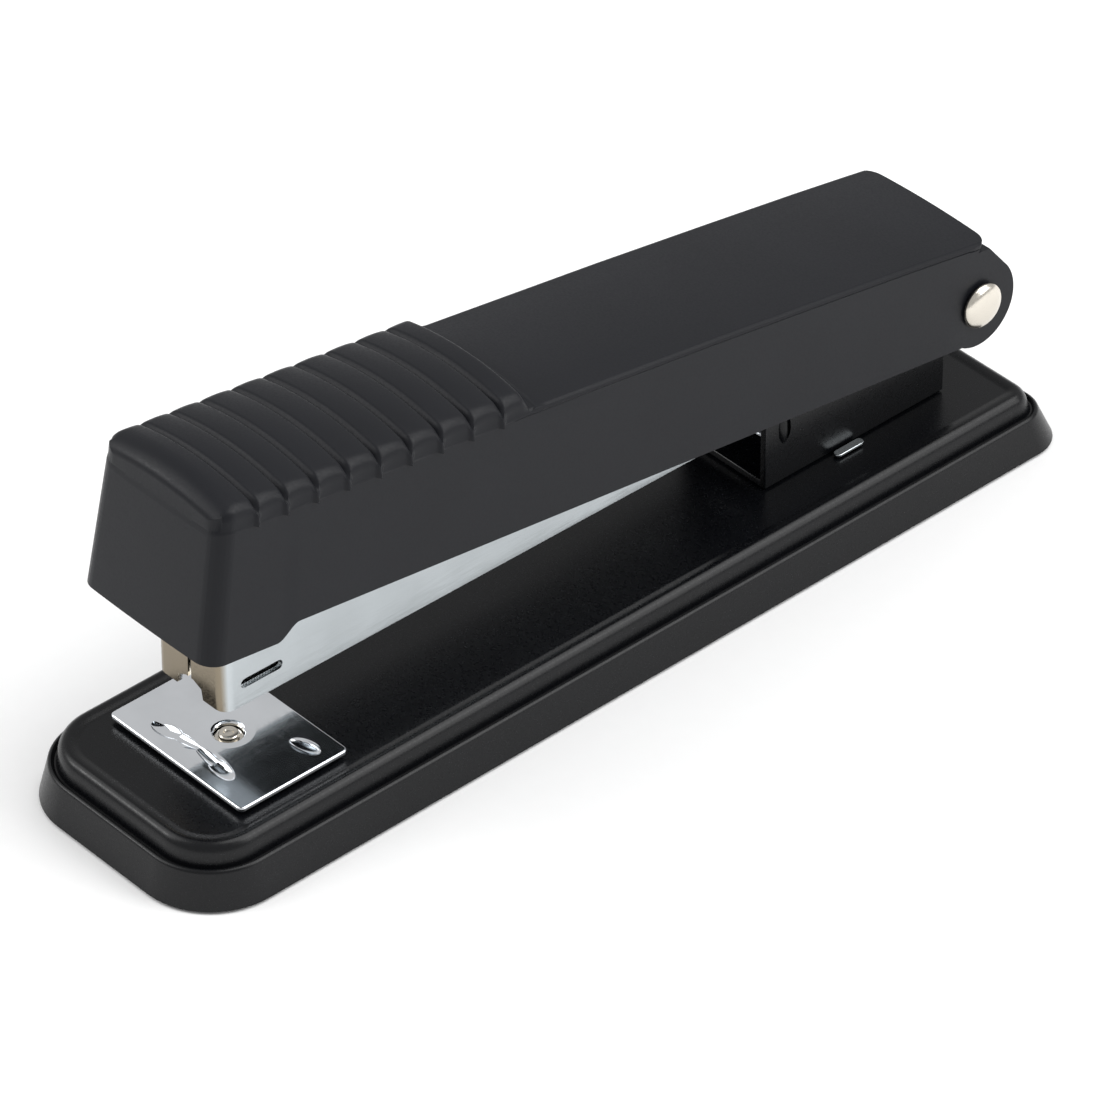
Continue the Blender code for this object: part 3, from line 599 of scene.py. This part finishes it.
def make_anvil():
    """The anvil plate with its crimping grooves, its spindle, button and spring."""
    place = node_frame("anvil_spindle")
    low, high = (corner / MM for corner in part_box("anvil_plate"))
    half_x, half_y = (high.x - low.x) / 2, (high.y - low.y) / 2
    top = high.z
    plate = box("anvil_sheet", (-half_x, -half_y, low.z), (half_x, half_y, top))
    round_edges(plate, upright, 0.9, 5)
    softened(plate, 0.3, 4, 60)
    for side in (-1, 1):
        rims = (
            ("crimp_rim", (side * 4.5, -6.4, top - 0.22), (5.6, 2.1, 0.42), side * -7),
            ("outward_rim", (side * 10.4, 6.0, top - 0.22), (3.4, 1.9, 0.42), side * 12),
        )
        for name, centre, radii, turn in rims:
            joined(plate, ball(name, centre, radii, math.radians(turn)))
    for side in (-1, 1):
        dips = (
            ("crimp_deep", (side * 6.2, -6.6, top + 0.25), (3.1, 1.55, 0.9), side * -7),
            ("crimp_ramp", (side * 3.3, -6.25, top + 0.25), (4.1, 1.0, 0.72), side * -7),
            ("outward_dip", (side * 10.4, 6.0, top + 0.25), (2.8, 1.25, 0.8), side * 12),
        )
        for name, centre, radii, turn in dips:
            cut(plate, ball(name, centre, radii, math.radians(turn)))
    cut(plate, ball("dish", (0, 0, top + 0.42), (6.4, 6.4, 0.55)))
    cut(plate, turned("soft_edge", [(ANVIL_HOLE, top - 0.4), (2.5, top - 0.2), (2.9, top + 0.05)]))
    cut(plate, rod("hole", "Z", (0, 0, 0), ANVIL_HOLE, 0, 20))
    shown(plate, "anvil", finish("anvil"), "chrome", "anvil_plate", place=place, angle=35)

    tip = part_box("anvil_spindle")[1].z / MM - 0.25
    profile = [(0.05, 3.0), (1.5, 3.0), (1.5, 9.2), (4.0, 9.2), (4.0, 10.2), (2.1, 10.2)]
    profile += [(2.1, tip - 0.85), (1.6, tip - 0.87), (1.55, tip - 0.2), (1.4, tip - 0.04)]
    profile += [(1.2, tip), (0.8, tip), (0.65, tip - 0.25), (0.3, tip - 0.3), (0.05, tip - 0.3)]
    spindle = turned("spindle_turned", profile)
    shown(spindle, "spindle", finish("nickel"), "satin_nickel", "anvil_spindle", place=place)

    profile = [(0.05, 1.35), (4.2, 1.35), (4.6, 1.2), (5.1, 1.2), (5.5, 1.5), (5.6, 1.9)]
    profile += [(5.6, 3.9), (5.3, 4.2), (1.8, 4.2), (1.8, 2.7), (0.05, 2.7)]
    button = turned("button_moulded", profile)
    shown(button, "spindle", finish("nylon"), "black_nylon", "anvil_button", place=place)

    low, high = (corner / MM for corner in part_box("anvil_spring"))
    coil = wound("anvil_coil", 3.6, 0.3, high.z - low.z - 0.6, 4)
    lift = place @ Matrix.Translation((0, 0, (low.z + 0.3) * MM))
    shown(coil, "base", finish("spring"), "spring_steel", "anvil_spring", place=lift, angle=60)
    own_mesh(coil)


def wound(name, radius, wire, length, turns, steps=20):
    """A coil spring along Z: a small circle swept up a helix, with its ends filled."""
    nothing_selected()
    bpy.ops.mesh.primitive_circle_add(
        vertices=10, radius=wire, location=(radius, 0, 0), rotation=(math.pi / 2, 0, 0)
    )
    piece = begun(name)
    applied(
        piece,
        "SCREW",
        axis="Z",
        screw_offset=length / turns,
        iterations=turns,
        steps=steps,
        render_steps=steps,
        use_merge_vertices=False,
        use_smooth_shade=True,
    )
    alone(piece)
    bpy.ops.object.mode_set(mode="EDIT")
    bpy.ops.mesh.select_mode(type="EDGE")
    bpy.ops.mesh.select_all(action="DESELECT")
    bpy.ops.mesh.select_non_manifold()
    bpy.ops.mesh.edge_face_add()
    bpy.ops.mesh.select_all(action="SELECT")
    bpy.ops.mesh.normals_make_consistent(inside=False)
    bpy.ops.object.mode_set(mode="OBJECT")
    return piece


def make_bracket():
    """The folded bracket on the base, its rivets, staked tabs and the magazine's return leaf."""
    bracket = refined("hinge_bracket", 0.35, 3)
    low, high = (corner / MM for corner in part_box("hinge_bracket"))
    for side in (-1, 1):
        x = side * (high.x - 0.25)
        rib = ball("lance", (x, low.y + 4.0, 20.1), (0.95, 1.3, 3.0))
        joined(bracket, rib)
        cut(bracket, box("lance_cut", (x - 0.6, low.y + 4.0, 17.9), (x + 1.2, low.y + 4.9, 22.6)))
    shown(bracket, "base", finish("enamel"), "black_paint", "hinge_bracket")
    for end in ("front", "rear"):
        node = "bracket_rivet_" + end
        low, high = (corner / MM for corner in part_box(node))
        profile = [(0.05, low.z), (2.9, low.z), (3.2, low.z + 0.3), (3.2, low.z + 1.2)]
        profile += [(2.0, low.z + 1.2), (2.0, high.z - 1.0)] + dome(3.4, high.z - 1.0, 1.0)
        rivet = turned(node + "_headed", profile)
        shown(rivet, "base", finish("zinc"), "zinc_plate", node, place=node_frame(node))
    for side in ("left", "right"):
        node = "staking_tab_" + side
        tab = refined(node, 0.22, 3)
        shown(tab, "base", finish("chrome"), "zinc_plate", node)
    leaf = refined("return_spring", 0.1, 2)
    low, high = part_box("return_spring")
    shown(leaf, None, finish("spring"), "spring_steel", "return_spring")
    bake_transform(leaf)


def make_pin():
    """The hinge pin with its domed head, and the pressed cap on its far end."""
    place = tipped(0)
    low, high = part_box("hinge_pin")
    head = high.x / MM - 1.75
    profile = [(0.05, low.x / MM), (1.8, low.x / MM), (2.0, low.x / MM + 0.3), (2.0, head)]
    profile += [(3.55, head), (3.85, head + 0.12)] + dome(3.9, head + 0.3, 1.45, 14)
    pin = turned("pin_headed", profile, "X")
    shown(pin, "pin", finish("nickel"), "satin_nickel", "hinge_pin", place=place, angle=50)
    profile = [(0.05, head + 1.0), (2.2, head + 1.0), (2.2, head), (3.55, head)]
    profile += [(3.85, head + 0.12)] + dome(3.9, head + 0.3, 1.45, 14)
    cap = turned("cap_pressed", profile, "X")
    cap.data.transform(Matrix.Rotation(math.pi, 4, "Z"))
    shown(cap, "pin", finish("nickel"), "satin_nickel", "pin_cap", place=place, angle=50)


def make_magazine():
    """The magazine's bright channel, and the rail, rod and stop inside it."""
    channel = refined("magazine_channel", 0.2, 3)
    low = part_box("magazine_channel")[0]
    tint = bpy.context.scene.stapler_finish.tabs
    metal = tinted_front(finish("chrome").copy(), tint, low.y)
    metal.name = "chrome_with_straw_tabs"
    shown(channel, "magazine", metal, "chrome", "magazine_channel", angle=40)
    for node, width in (("staple_rail", 0.18), ("rear_stop", 0.15), ("guide_rod", 0.1)):
        piece = refined(node, width)
        shown(piece, "magazine", finish("zinc"), "zinc_plate", node)


def make_staples():
    """The strip of staples, bent one by one from wire and glued side by side."""
    sizes = bpy.context.scene.stapler_sizes
    place = tipped(sizes.magazine_tilt)
    inverse = place.inverted()
    corners = [inverse @ v.co / MM for v in frame["nodes"]["staple_strip"].data.vertices]
    front, rear = min(c.y for c in corners), max(c.y for c in corners)
    top, foot = max(c.z for c in corners), min(c.z for c in corners)
    half = max(c.x for c in corners)
    wire = sizes.staple_wire / MM
    count = int((rear - front) / (wire + 0.02))
    staple = box("staple", (-half, front, foot), (half, front + wire, top))
    inside = box("inside", (wire - half, front - 1, foot - 1), (half - wire, front + 2, top - wire))
    cut(staple, inside)
    softened(staple, 0.12, 2)
    copies = []
    for n in range(1, count):
        copy = staple.copy()
        copy.data = staple.data.copy()
        copy.data.transform(Matrix.Translation((0, n * (wire + 0.02), 0)))
        bpy.context.scene.collection.objects.link(copy)
        copies.append(copy)
    alone(staple)
    for copy in copies:
        copy.select_set(True)
    bpy.ops.object.join()
    staple.name = "staples_glued"
    shown(staple, "magazine", finish("wire"), "staple_wire", "staple_strip", place=place)


def make_pusher():
    """The pusher on the rail, and the long spring that drives it."""
    pusher = refined("pusher_block", 0.12)
    shown(pusher, "pusher", finish("zinc"), "zinc_plate", "pusher_block")
    tilt = bpy.context.scene.stapler_sizes.magazine_tilt
    place = tipped(tilt)
    inverse = place.inverted()
    corners = [inverse @ v.co / MM for v in frame["nodes"]["pusher_spring"].data.vertices]
    front, rear = min(c.y for c in corners), max(c.y for c in corners)
    height = (min(c.z for c in corners) + max(c.z for c in corners)) / 2
    wire = 0.27
    spring = wound("pusher_coil", 1.75, wire, rear - front - 2 * wire, 30, 16)
    spring.data.transform(
        Matrix.Translation((0, rear - wire, height)) @ Matrix.Rotation(math.pi / 2, 4, "X")
    )
    shown(
        spring, "magazine", finish("spring"), "spring_steel", "pusher_spring", place=place, angle=60
    )
    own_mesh(spring)


def make_lid():
    """The inner lid over the staples, with the leaf that lifts the handle."""
    lid = refined("magazine_lid", 0.2)
    shown(lid, "lid", finish("zinc"), "zinc_plate", "magazine_lid")
    rivet = refined("spring_rivet", 0.12)
    shown(rivet, "lid", finish("zinc"), "zinc_plate", "spring_rivet")
    leaf = refined("handle_spring", 0.1)
    shown(leaf, None, finish("spring"), "spring_steel", "handle_spring")
    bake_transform(leaf)


def make_frame():
    """The sheet frame under the cover, the driver blade and what fastens them."""
    plates = (("handle_frame", "zinc", "zinc_plate"), ("driver_blade", "spring", "spring_steel"))
    for node, metal, slot in plates:
        shown(refined(node, 0.2), "handle", finish(metal), slot, node)
    for node in ("driver_rivet_left", "driver_rivet_right"):
        shown(refined(node, 0.15), "handle", finish("zinc"), "zinc_plate", node)
    for node in ("cover_screw_front", "cover_screw_rear"):
        screw = refined(node, 0.12)
        shown(screw, "handle", finish("zinc"), "zinc_plate", node)


# Cover

NOSE = -156.4  # the cover's foremost edge, ahead of the pin
REAR = 12.0  # past its rear end, which the ears' round then cuts off
BLOCK_FOOT = -10  # heights of the plain block that the cover is shaped from
BLOCK_TOP = 14
FOOT_HALF = 14.7  # half its width at the foot of its sides
EDGE_HALF = 13.5  # and at their top
NOSE_FOOT = -9.2
SIDE_FOOT = -6.7
WALL = 1.7
LEAN = 0.05  # how far the front face leans back for its height
NOSE_BOW = 0.3
NOSE_ROUND = (3.0, 1.0)  # length and drop of the soft edge over the nose
CREASE = 12.97  # height of the fine line under the top edge, before the block is shaped
CREASE_REACH = 0.17
CREASE_DEPTH = 0.16
PAD_FRONT = NOSE - 0.02  # flush with the nose
PAD_REAR = -91.5
PAD_FLOOR = 12.4  # where the grip starts, inside the shell's top wall
PAD_EDGE = 16.0  # height of its crests at the sides
PAD_CROWN = 1.5  # and how much higher they are in the middle
SCREWS = (-120.0, -70.0)
EAR = 7.5
EAR_FOOT = -3.37  # where the ears' round meets the foot of the sides
EAR_SHOULDER = ((-10, -2), (5.67, 4.91), (1.2, 9.3), (-10, 9.3))
EDGE_HEIGHTS = (
    (-160, 13.2),
    (-92, 13.3),
    (-58, 12.7),
    (-34, 12.0),
    (-16, 11.4),
    (2, 10.6),
    (20, 10.0),
)


def top_height(s):
    """Height of the cover's smooth top edge at a place s along it from the pin."""
    for (s0, z0), (s1, z1) in zip(EDGE_HEIGHTS, EDGE_HEIGHTS[1:]):
        if s <= s1:
            return z0 + (z1 - z0) * (s - s0) / (s1 - s0)
    return EDGE_HEIGHTS[-1][1]


def ramp(value, start, stop):
    t = min(max((value - start) / (stop - start), 0), 1)
    return t * t * (3 - 2 * t)


def crown_at(x, s):
    """How far the top bulges above its edge: most under the grip, little at the hinge."""
    return (0.45 + 0.75 * ramp(-s, 55, 100)) * (1 - (x / EDGE_HALF) ** 2)


def leaned(x, s, z):
    """Lean and bow the nose: the shift fades out over the first 16 mm."""
    near = max(0.0, 1 - (s - NOSE) / 16)
    return Vector((x, s + (LEAN * (z - NOSE_FOOT) + NOSE_BOW * (x / FOOT_HALF) ** 2) * near, z))


def cover_form(co):
    """Where a point of the cover's plain block goes."""
    share = (co.z - BLOCK_FOOT) / (BLOCK_TOP - BLOCK_FOOT)
    rim = SIDE_FOOT + (NOSE_FOOT - SIDE_FOOT) * (1 - ramp(co.y, -143.2, -139.2))
    rim -= 3.0 * ramp(co.y, EAR_FOOT, EAR_FOOT + 0.4)
    z = rim + (top_height(co.y) - rim) * share
    x = co.x * (FOOT_HALF + (EDGE_HALF - FOOT_HALF) * share) / FOOT_HALF
    if abs(co.z - CREASE) < 0.01 and co.y > PAD_REAR - 0.6:
        x -= math.copysign(CREASE_DEPTH, x)
    z += crown_at(x, co.y) * ramp(share, 0.975, 0.985)
    reach, drop = NOSE_ROUND
    near = min(max(1 - (co.y - NOSE) / reach, 0), 1)
    z -= drop * (1 - math.sqrt(1 - near**2)) * ramp(share, 0.8, 0.98)
    return leaned(x, co.y, z)


def cover_block(name, half, front, foot, top, corner, edge):
    """A block with its front corners and top edges rounded, cut into loops and shaped."""
    block = box(name, (-half, front, foot), (half, REAR, top))
    round_edges(block, lambda e: upright(e) and middle(e).y < 0, corner, 10)
    if edge:
        round_edges(block, lambda e: middle(e).z > top - 0.01 and middle(e).y < REAR - 0.1, edge, 5)
    bisected(block, "X", range(-10, 11, 2))
    stations = [NOSE + step for step in (0.15, 0.5, 1.0, 1.6, 2.3, 3.0)]
    stations += [-152, -148, -145.5, *(-143.6 + 0.4 * n for n in range(12))]
    stations += [-130, -115, -100, -92, -75, -58, -46, -34, -25, -16, -7]
    stations += [EAR_FOOT, EAR_FOOT + 0.4, 2]
    bisected(block, "Y", stations)
    crease = (CREASE - CREASE_REACH, CREASE, CREASE + CREASE_REACH)
    bisected(block, "Z", (-6, -2, 2, 6, 10, *crease))
    return shaped(block, cover_form)


def grip_pad():
    """The raised grip: a grid rounded down at its rim, crowned, and grooved across."""
    sizes = bpy.context.scene.stapler_sizes
    half = EDGE_HALF - 0.12
    corner, edge = 3.0, 1.7
    nose_reach, nose_drop = 4.6, 2.7
    pitch, depth, first = (v / MM for v in (sizes.rib_pitch, sizes.rib_depth, sizes.rib_first))
    nothing_selected()
    bpy.ops.mesh.primitive_grid_add(x_subdivisions=56, y_subdivisions=260, size=2)
    pad = begun("grip_moulded")

    def groove(s):
        """The grooved surface's height under its crests."""
        nearest = min(max(round((s - first) / pitch), 0), sizes.rib_count - 1)
        away = abs(s - first - nearest * pitch)
        arch = 1 - math.sin(min(away / pitch, 0.5) * math.pi)
        return -depth * (0.22 * arch + 0.7 * math.exp(-((away / 0.4) ** 2)))

    def form(co):
        x = half * (0.35 * math.sin(co.x * math.pi / 2) + 0.65 * co.x)
        length = PAD_REAR - PAD_FRONT
        s = PAD_FRONT + length * (1 + co.y) / 2
        if co.y < -0.9:
            s = PAD_FRONT + length * 0.05 * (1 - math.cos((co.y + 1) * 5 * math.pi))
        across, ahead = abs(x) - (half - corner), PAD_FRONT + corner - s
        inside = half - abs(x)
        if across > 0 and ahead > 0:
            reach = max(across, ahead)
            bearing = math.atan2(ahead, across)
            x = math.copysign(half - corner + reach * math.cos(bearing), x)
            s = PAD_FRONT + corner - reach * math.sin(bearing)
            inside = min(inside, corner - reach) if across > ahead else half - abs(x)
        side_fall = min(max(1 - inside / edge, 0), 1)
        nose_fall = min(max(1 - (s - PAD_FRONT) / nose_reach, 0), 1)
        drop = edge * (1 - math.sqrt(1 - side_fall**2))
        drop = math.hypot(drop, nose_drop * (1 - math.sqrt(1 - nose_fall**2)))
        crown = 1 - (x / half) ** 2
        rib = groove(s) * (1 + (x / half) ** 4)
        z = PAD_EDGE + PAD_CROWN * crown + rib - drop
        fall = ramp(s, -97.4, -95.1)
        z += (top_height(s) + crown_at(x, s) + 0.15 + 0.5 * rib - z) * fall
        z -= 0.45 * ramp(s, -95, PAD_REAR)
        x += math.copysign(0.6 * rib * ramp(edge - inside, 0, edge), x) * (1 - fall)
        return leaned(x, s, z)

    shaped(pad, form)
    alone(pad)
    bpy.ops.object.mode_set(mode="EDIT")
    bpy.ops.mesh.select_mode(type="EDGE")
    bpy.ops.mesh.select_all(action="DESELECT")
    bpy.ops.mesh.select_non_manifold()
    bpy.ops.mesh.extrude_region_move(TRANSFORM_OT_translate={"value": (0, 0, -20)})
    bpy.ops.transform.resize(value=(1, 1, 0), center_override=(0, 0, PAD_FLOOR))
    bpy.ops.mesh.edge_face_add()
    bpy.ops.mesh.select_all(action="SELECT")
    bpy.ops.mesh.normals_make_consistent(inside=False)
    bpy.ops.object.mode_set(mode="OBJECT")
    return pad


def make_cover():
    """The cover with its grip, its ears on the pin and the screws' bosses."""
    sizes = bpy.context.scene.stapler_sizes
    shell = cover_block("cover_moulded", FOOT_HALF, NOSE, BLOCK_FOOT, BLOCK_TOP, 3.1, 0.8)
    cavity = cover_block("cavity", FOOT_HALF - WALL, NOSE + WALL, -13, 11.95, 2.2, 0)
    cut(shell, cavity)
    behind = box("behind", (-30, EAR_FOOT, -30), (30, 30, 30))
    shoulder = box("shoulder", (-40, 0, 0), (40, 1, 1))

    def sloped(co):
        """Take the corners of a square bar to those of the ears' shoulder."""
        y, z = EAR_SHOULDER[(0 if co.z < 0.5 else 3) if co.y < 0.5 else (1 if co.z < 0.5 else 2)]
        return Vector((co.x, y, z))

    shaped(shoulder, sloped)
    end = box("rounded_end", (-13.75, -20, 9.29), (13.75, 0.9, 40))
    round_edges(end, lambda e: upright(e) and middle(e).y > 0, 3.2, 10)
    cut(behind, rod("ear_round", "X", (0, 0, 0), EAR, -40, 40, 96), shoulder, end)
    cut(shell, behind)
    cut(shell, rod("pin_hole", "X", (0, 0, 0), 2.3, -40, 40))
    for s in SCREWS:
        ceiling = top_height(s) - 1.0
        joined(shell, rod("boss", "Z", (0, s, 0), 3.2, 8.35, ceiling))
        cut(shell, rod("pilot", "Z", (0, s, 0), 1.4, 0, ceiling - 0.4))
    joined(shell, grip_pad())
    place = tipped(sizes.handle_tilt)
    shown(shell, "handle", finish("cover"), "charcoal_plastic", "top_cover", place=place, angle=42)


# Stage

CAMERA_BACK = Vector((0.5864, -0.5281, 0.6139))  # from the target towards the camera
CAMERA_TARGET = Vector((0.8, -1.75, 13.1))
CAMERA_REACH = 1.1253  # metres
CAMERA_ROLL = -0.23  # degrees


def make_stage():
    """A plain pale floor, soft studio lights and the camera."""
    scene = bpy.context.scene
    scene.view_settings.view_transform = "Standard"
    look = scene.stapler_finish
    nothing_selected()
    bpy.ops.mesh.primitive_plane_add(size=8, location=(0, 0, 0))
    floor = bpy.context.object
    floor.name = "studio_floor"
    paper, tree, shader, place = new_material("white_paper_sweep")
    fibres = grain(tree, place, 3)
    blended(tree, shader, "Base Color", fibres, shade(look.floor, 0.995), look.floor)
    shader.inputs["Roughness"].default_value = 0.9
    shader.inputs["Specular IOR Level"].default_value = 0.1
    floor.data.materials.append(paper)

    world = bpy.data.worlds.new("studio")
    scene.world = world
    world.use_nodes = True
    world.node_tree.nodes["Background"].inputs["Color"].default_value = (1, 1, 1, 1)
    world.node_tree.nodes["Background"].inputs["Strength"].default_value = look.ambient

    lights = (
        ("key_softbox", (-0.65, -0.6, 0.8), 0.9, look.key),
        ("side_softbox", (0.85, 0.6, 0.65), 0.8, look.side),
        ("top_softbox", (0.35, 0.45, 1.1), 1.0, look.top),
        ("nose_strip", (-0.66, -0.66, 0.56), 0.22, look.strip),
    )
    for name, place, size, power in lights:
        nothing_selected()
        bpy.ops.object.light_add(type="AREA", location=place)
        light = bpy.context.object
        light.name = name
        light.data.size = size
        light.data.energy = power
        light.rotation_euler = Vector(place).to_track_quat("Z", "Y").to_euler()

    nothing_selected()
    bpy.ops.object.camera_add()
    camera = bpy.context.object
    camera.name = "camera"
    back = CAMERA_BACK.normalized()
    camera.location = CAMERA_TARGET * MM + back * CAMERA_REACH
    look_at = back.to_track_quat("Z", "Y").to_matrix().to_4x4()
    roll = Matrix.Rotation(math.radians(CAMERA_ROLL), 4, "Z")
    camera.rotation_euler = (look_at @ roll).to_euler()
    camera.data.sensor_width = 36
    camera.data.lens = 243.7
    camera.data.clip_end = 20
    scene.camera = camera


# Add-on


class StaplerSizes(bpy.types.PropertyGroup):
    """Sizes that a user may want to change."""

    corner_front: FloatProperty(
        name="Front corner",
        description="Corner radius of the base's outline at the nose",
        default=0.0126,
        unit="LENGTH",
    )
    corner_rear: FloatProperty(
        name="Rear corner",
        description="Corner radius of the base's outline at the hinge",
        default=0.0068,
        unit="LENGTH",
    )
    rib_count: IntProperty(
        name="Grooves", description="Grooves across the cover's grip", default=10, min=0
    )
    rib_pitch: FloatProperty(
        name="Groove pitch",
        description="Distance from one groove to the next",
        default=0.00598,
        unit="LENGTH",
    )
    rib_first: FloatProperty(
        name="First groove",
        description="Place of the foremost groove, measured back from the hinge pin",
        default=-0.1491,
        unit="LENGTH",
    )
    rib_depth: FloatProperty(
        name="Groove depth", description="Depth of each groove", default=0.0008, unit="LENGTH"
    )
    staple_wire: FloatProperty(
        name="Staple wire",
        description="Thickness of a staple's wire",
        default=0.0005,
        unit="LENGTH",
    )
    handle_tilt: FloatProperty(
        name="Handle tilt",
        description="How far the handle is tipped nose-up at rest",
        default=math.radians(7.66),
        subtype="ANGLE",
    )
    magazine_tilt: FloatProperty(
        name="Magazine tilt",
        description="How far the magazine is tipped nose-up at rest",
        default=math.radians(0.55),
        subtype="ANGLE",
    )


class StaplerFinish(bpy.types.PropertyGroup):
    """Colours and light."""

    cover: FloatVectorProperty(
        name="Cover",
        description="Colour of the moulded cover",
        default=linear("17181c"),
        size=3,
        subtype="COLOR",
    )
    base: FloatVectorProperty(
        name="Base",
        description="Colour of the base's enamel",
        default=linear("08090c"),
        size=3,
        subtype="COLOR",
    )
    tabs: FloatVectorProperty(
        name="Front tabs",
        description="Straw tint of the magazine's front tabs",
        default=linear("8b8170"),
        size=3,
        subtype="COLOR",
    )
    pin: FloatVectorProperty(
        name="Pin",
        description="Colour of the hinge pin's nickel",
        default=linear("dcd6cb"),
        size=3,
        subtype="COLOR",
    )
    floor: FloatVectorProperty(
        name="Floor",
        description="Colour of the paper under the stapler",
        default=linear("f8f8f8"),
        size=3,
        subtype="COLOR",
    )
    ambient: FloatProperty(
        name="Ambient", description="Strength of the light from all round", default=0.55, min=0
    )
    key: FloatProperty(
        name="Key light", description="Power of the front softbox", default=5, min=0, unit="POWER"
    )
    side: FloatProperty(
        name="Side light", description="Power of the side softbox", default=5, min=0, unit="POWER"
    )
    strip: FloatProperty(
        name="Nose strip",
        description="Power of the small light that edges the nose",
        default=1.3,
        min=0,
        unit="POWER",
    )
    top: FloatProperty(
        name="Top light",
        description="Power of the overhead softbox",
        default=9,
        min=0,
        unit="POWER",
    )


class STAPLER_OT_stage(bpy.types.Operator):
    """Set out the floor, lights and camera"""

    bl_idname = "stapler.stage"
    bl_label = "Stage"

    def execute(self, context):
        make_stage()
        return {"FINISHED"}


class STAPLER_OT_base(bpy.types.Operator):
    """Press the base pan and lay the pad under it"""

    bl_idname = "stapler.base"
    bl_label = "Base"

    def execute(self, context):
        make_base()
        return {"FINISHED"}


class STAPLER_OT_anvil(bpy.types.Operator):
    """Make the anvil plate, spindle, button and spring"""

    bl_idname = "stapler.anvil"
    bl_label = "Anvil"

    def execute(self, context):
        make_anvil()
        return {"FINISHED"}


class STAPLER_OT_bracket(bpy.types.Operator):
    """Fold the hinge bracket and fasten it with its rivets and leaf"""

    bl_idname = "stapler.bracket"
    bl_label = "Bracket"

    def execute(self, context):
        make_bracket()
        return {"FINISHED"}


class STAPLER_OT_pin(bpy.types.Operator):
    """Head the hinge pin and press its cap"""

    bl_idname = "stapler.pin"
    bl_label = "Hinge pin"

    def execute(self, context):
        make_pin()
        return {"FINISHED"}


class STAPLER_OT_magazine(bpy.types.Operator):
    """Fold the magazine's channel and fit its rail, rod and stop"""

    bl_idname = "stapler.magazine"
    bl_label = "Magazine"

    def execute(self, context):
        make_magazine()
        return {"FINISHED"}


class STAPLER_OT_staples(bpy.types.Operator):
    """Bend and glue the strip of staples"""

    bl_idname = "stapler.staples"
    bl_label = "Staples"

    def execute(self, context):
        make_staples()
        return {"FINISHED"}


class STAPLER_OT_pusher(bpy.types.Operator):
    """Make the pusher and wind its spring"""

    bl_idname = "stapler.pusher"
    bl_label = "Pusher"

    def execute(self, context):
        make_pusher()
        return {"FINISHED"}


class STAPLER_OT_lid(bpy.types.Operator):
    """Fold the inner lid and rivet the handle's leaf to it"""

    bl_idname = "stapler.lid"
    bl_label = "Inner lid"

    def execute(self, context):
        make_lid()
        return {"FINISHED"}


class STAPLER_OT_frame(bpy.types.Operator):
    """Make the handle's frame, the driver and their fasteners"""

    bl_idname = "stapler.frame"
    bl_label = "Handle frame"

    def execute(self, context):
        make_frame()
        return {"FINISHED"}


class STAPLER_OT_cover(bpy.types.Operator):
    """Mould the ribbed cover"""

    bl_idname = "stapler.cover"
    bl_label = "Cover"

    def execute(self, context):
        make_cover()
        return {"FINISHED"}


STEPS = (
    STAPLER_OT_stage,
    STAPLER_OT_base,
    STAPLER_OT_anvil,
    STAPLER_OT_bracket,
    STAPLER_OT_pin,
    STAPLER_OT_magazine,
    STAPLER_OT_staples,
    STAPLER_OT_pusher,
    STAPLER_OT_lid,
    STAPLER_OT_frame,
    STAPLER_OT_cover,
)


class STAPLER_PT_panel(bpy.types.Panel):
    """The stapler's steps, sizes and colours"""

    bl_idname = "STAPLER_PT_panel"
    bl_label = "Stapler"
    bl_space_type = "VIEW_3D"
    bl_region_type = "UI"
    bl_category = "Stapler"

    def draw(self, context):
        for step in STEPS:
            self.layout.operator(step.bl_idname)
        for group in (context.scene.stapler_sizes, context.scene.stapler_finish):
            for name in group.__annotations__:
                self.layout.prop(group, name)


CLASSES = (StaplerSizes, StaplerFinish, *STEPS, STAPLER_PT_panel)


def register():
    for made in CLASSES:
        bpy.utils.register_class(made)
    bpy.types.Scene.stapler_sizes = PointerProperty(type=StaplerSizes)
    bpy.types.Scene.stapler_finish = PointerProperty(type=StaplerFinish)


def unregister():
    del bpy.types.Scene.stapler_finish
    del bpy.types.Scene.stapler_sizes
    for made in reversed(CLASSES):
        bpy.utils.unregister_class(made)


def main():
    register()
    for step in STEPS:
        group, name = step.bl_idname.split(".")
        getattr(getattr(bpy.ops, group), name)()


if __name__ == "__main__":
    main()
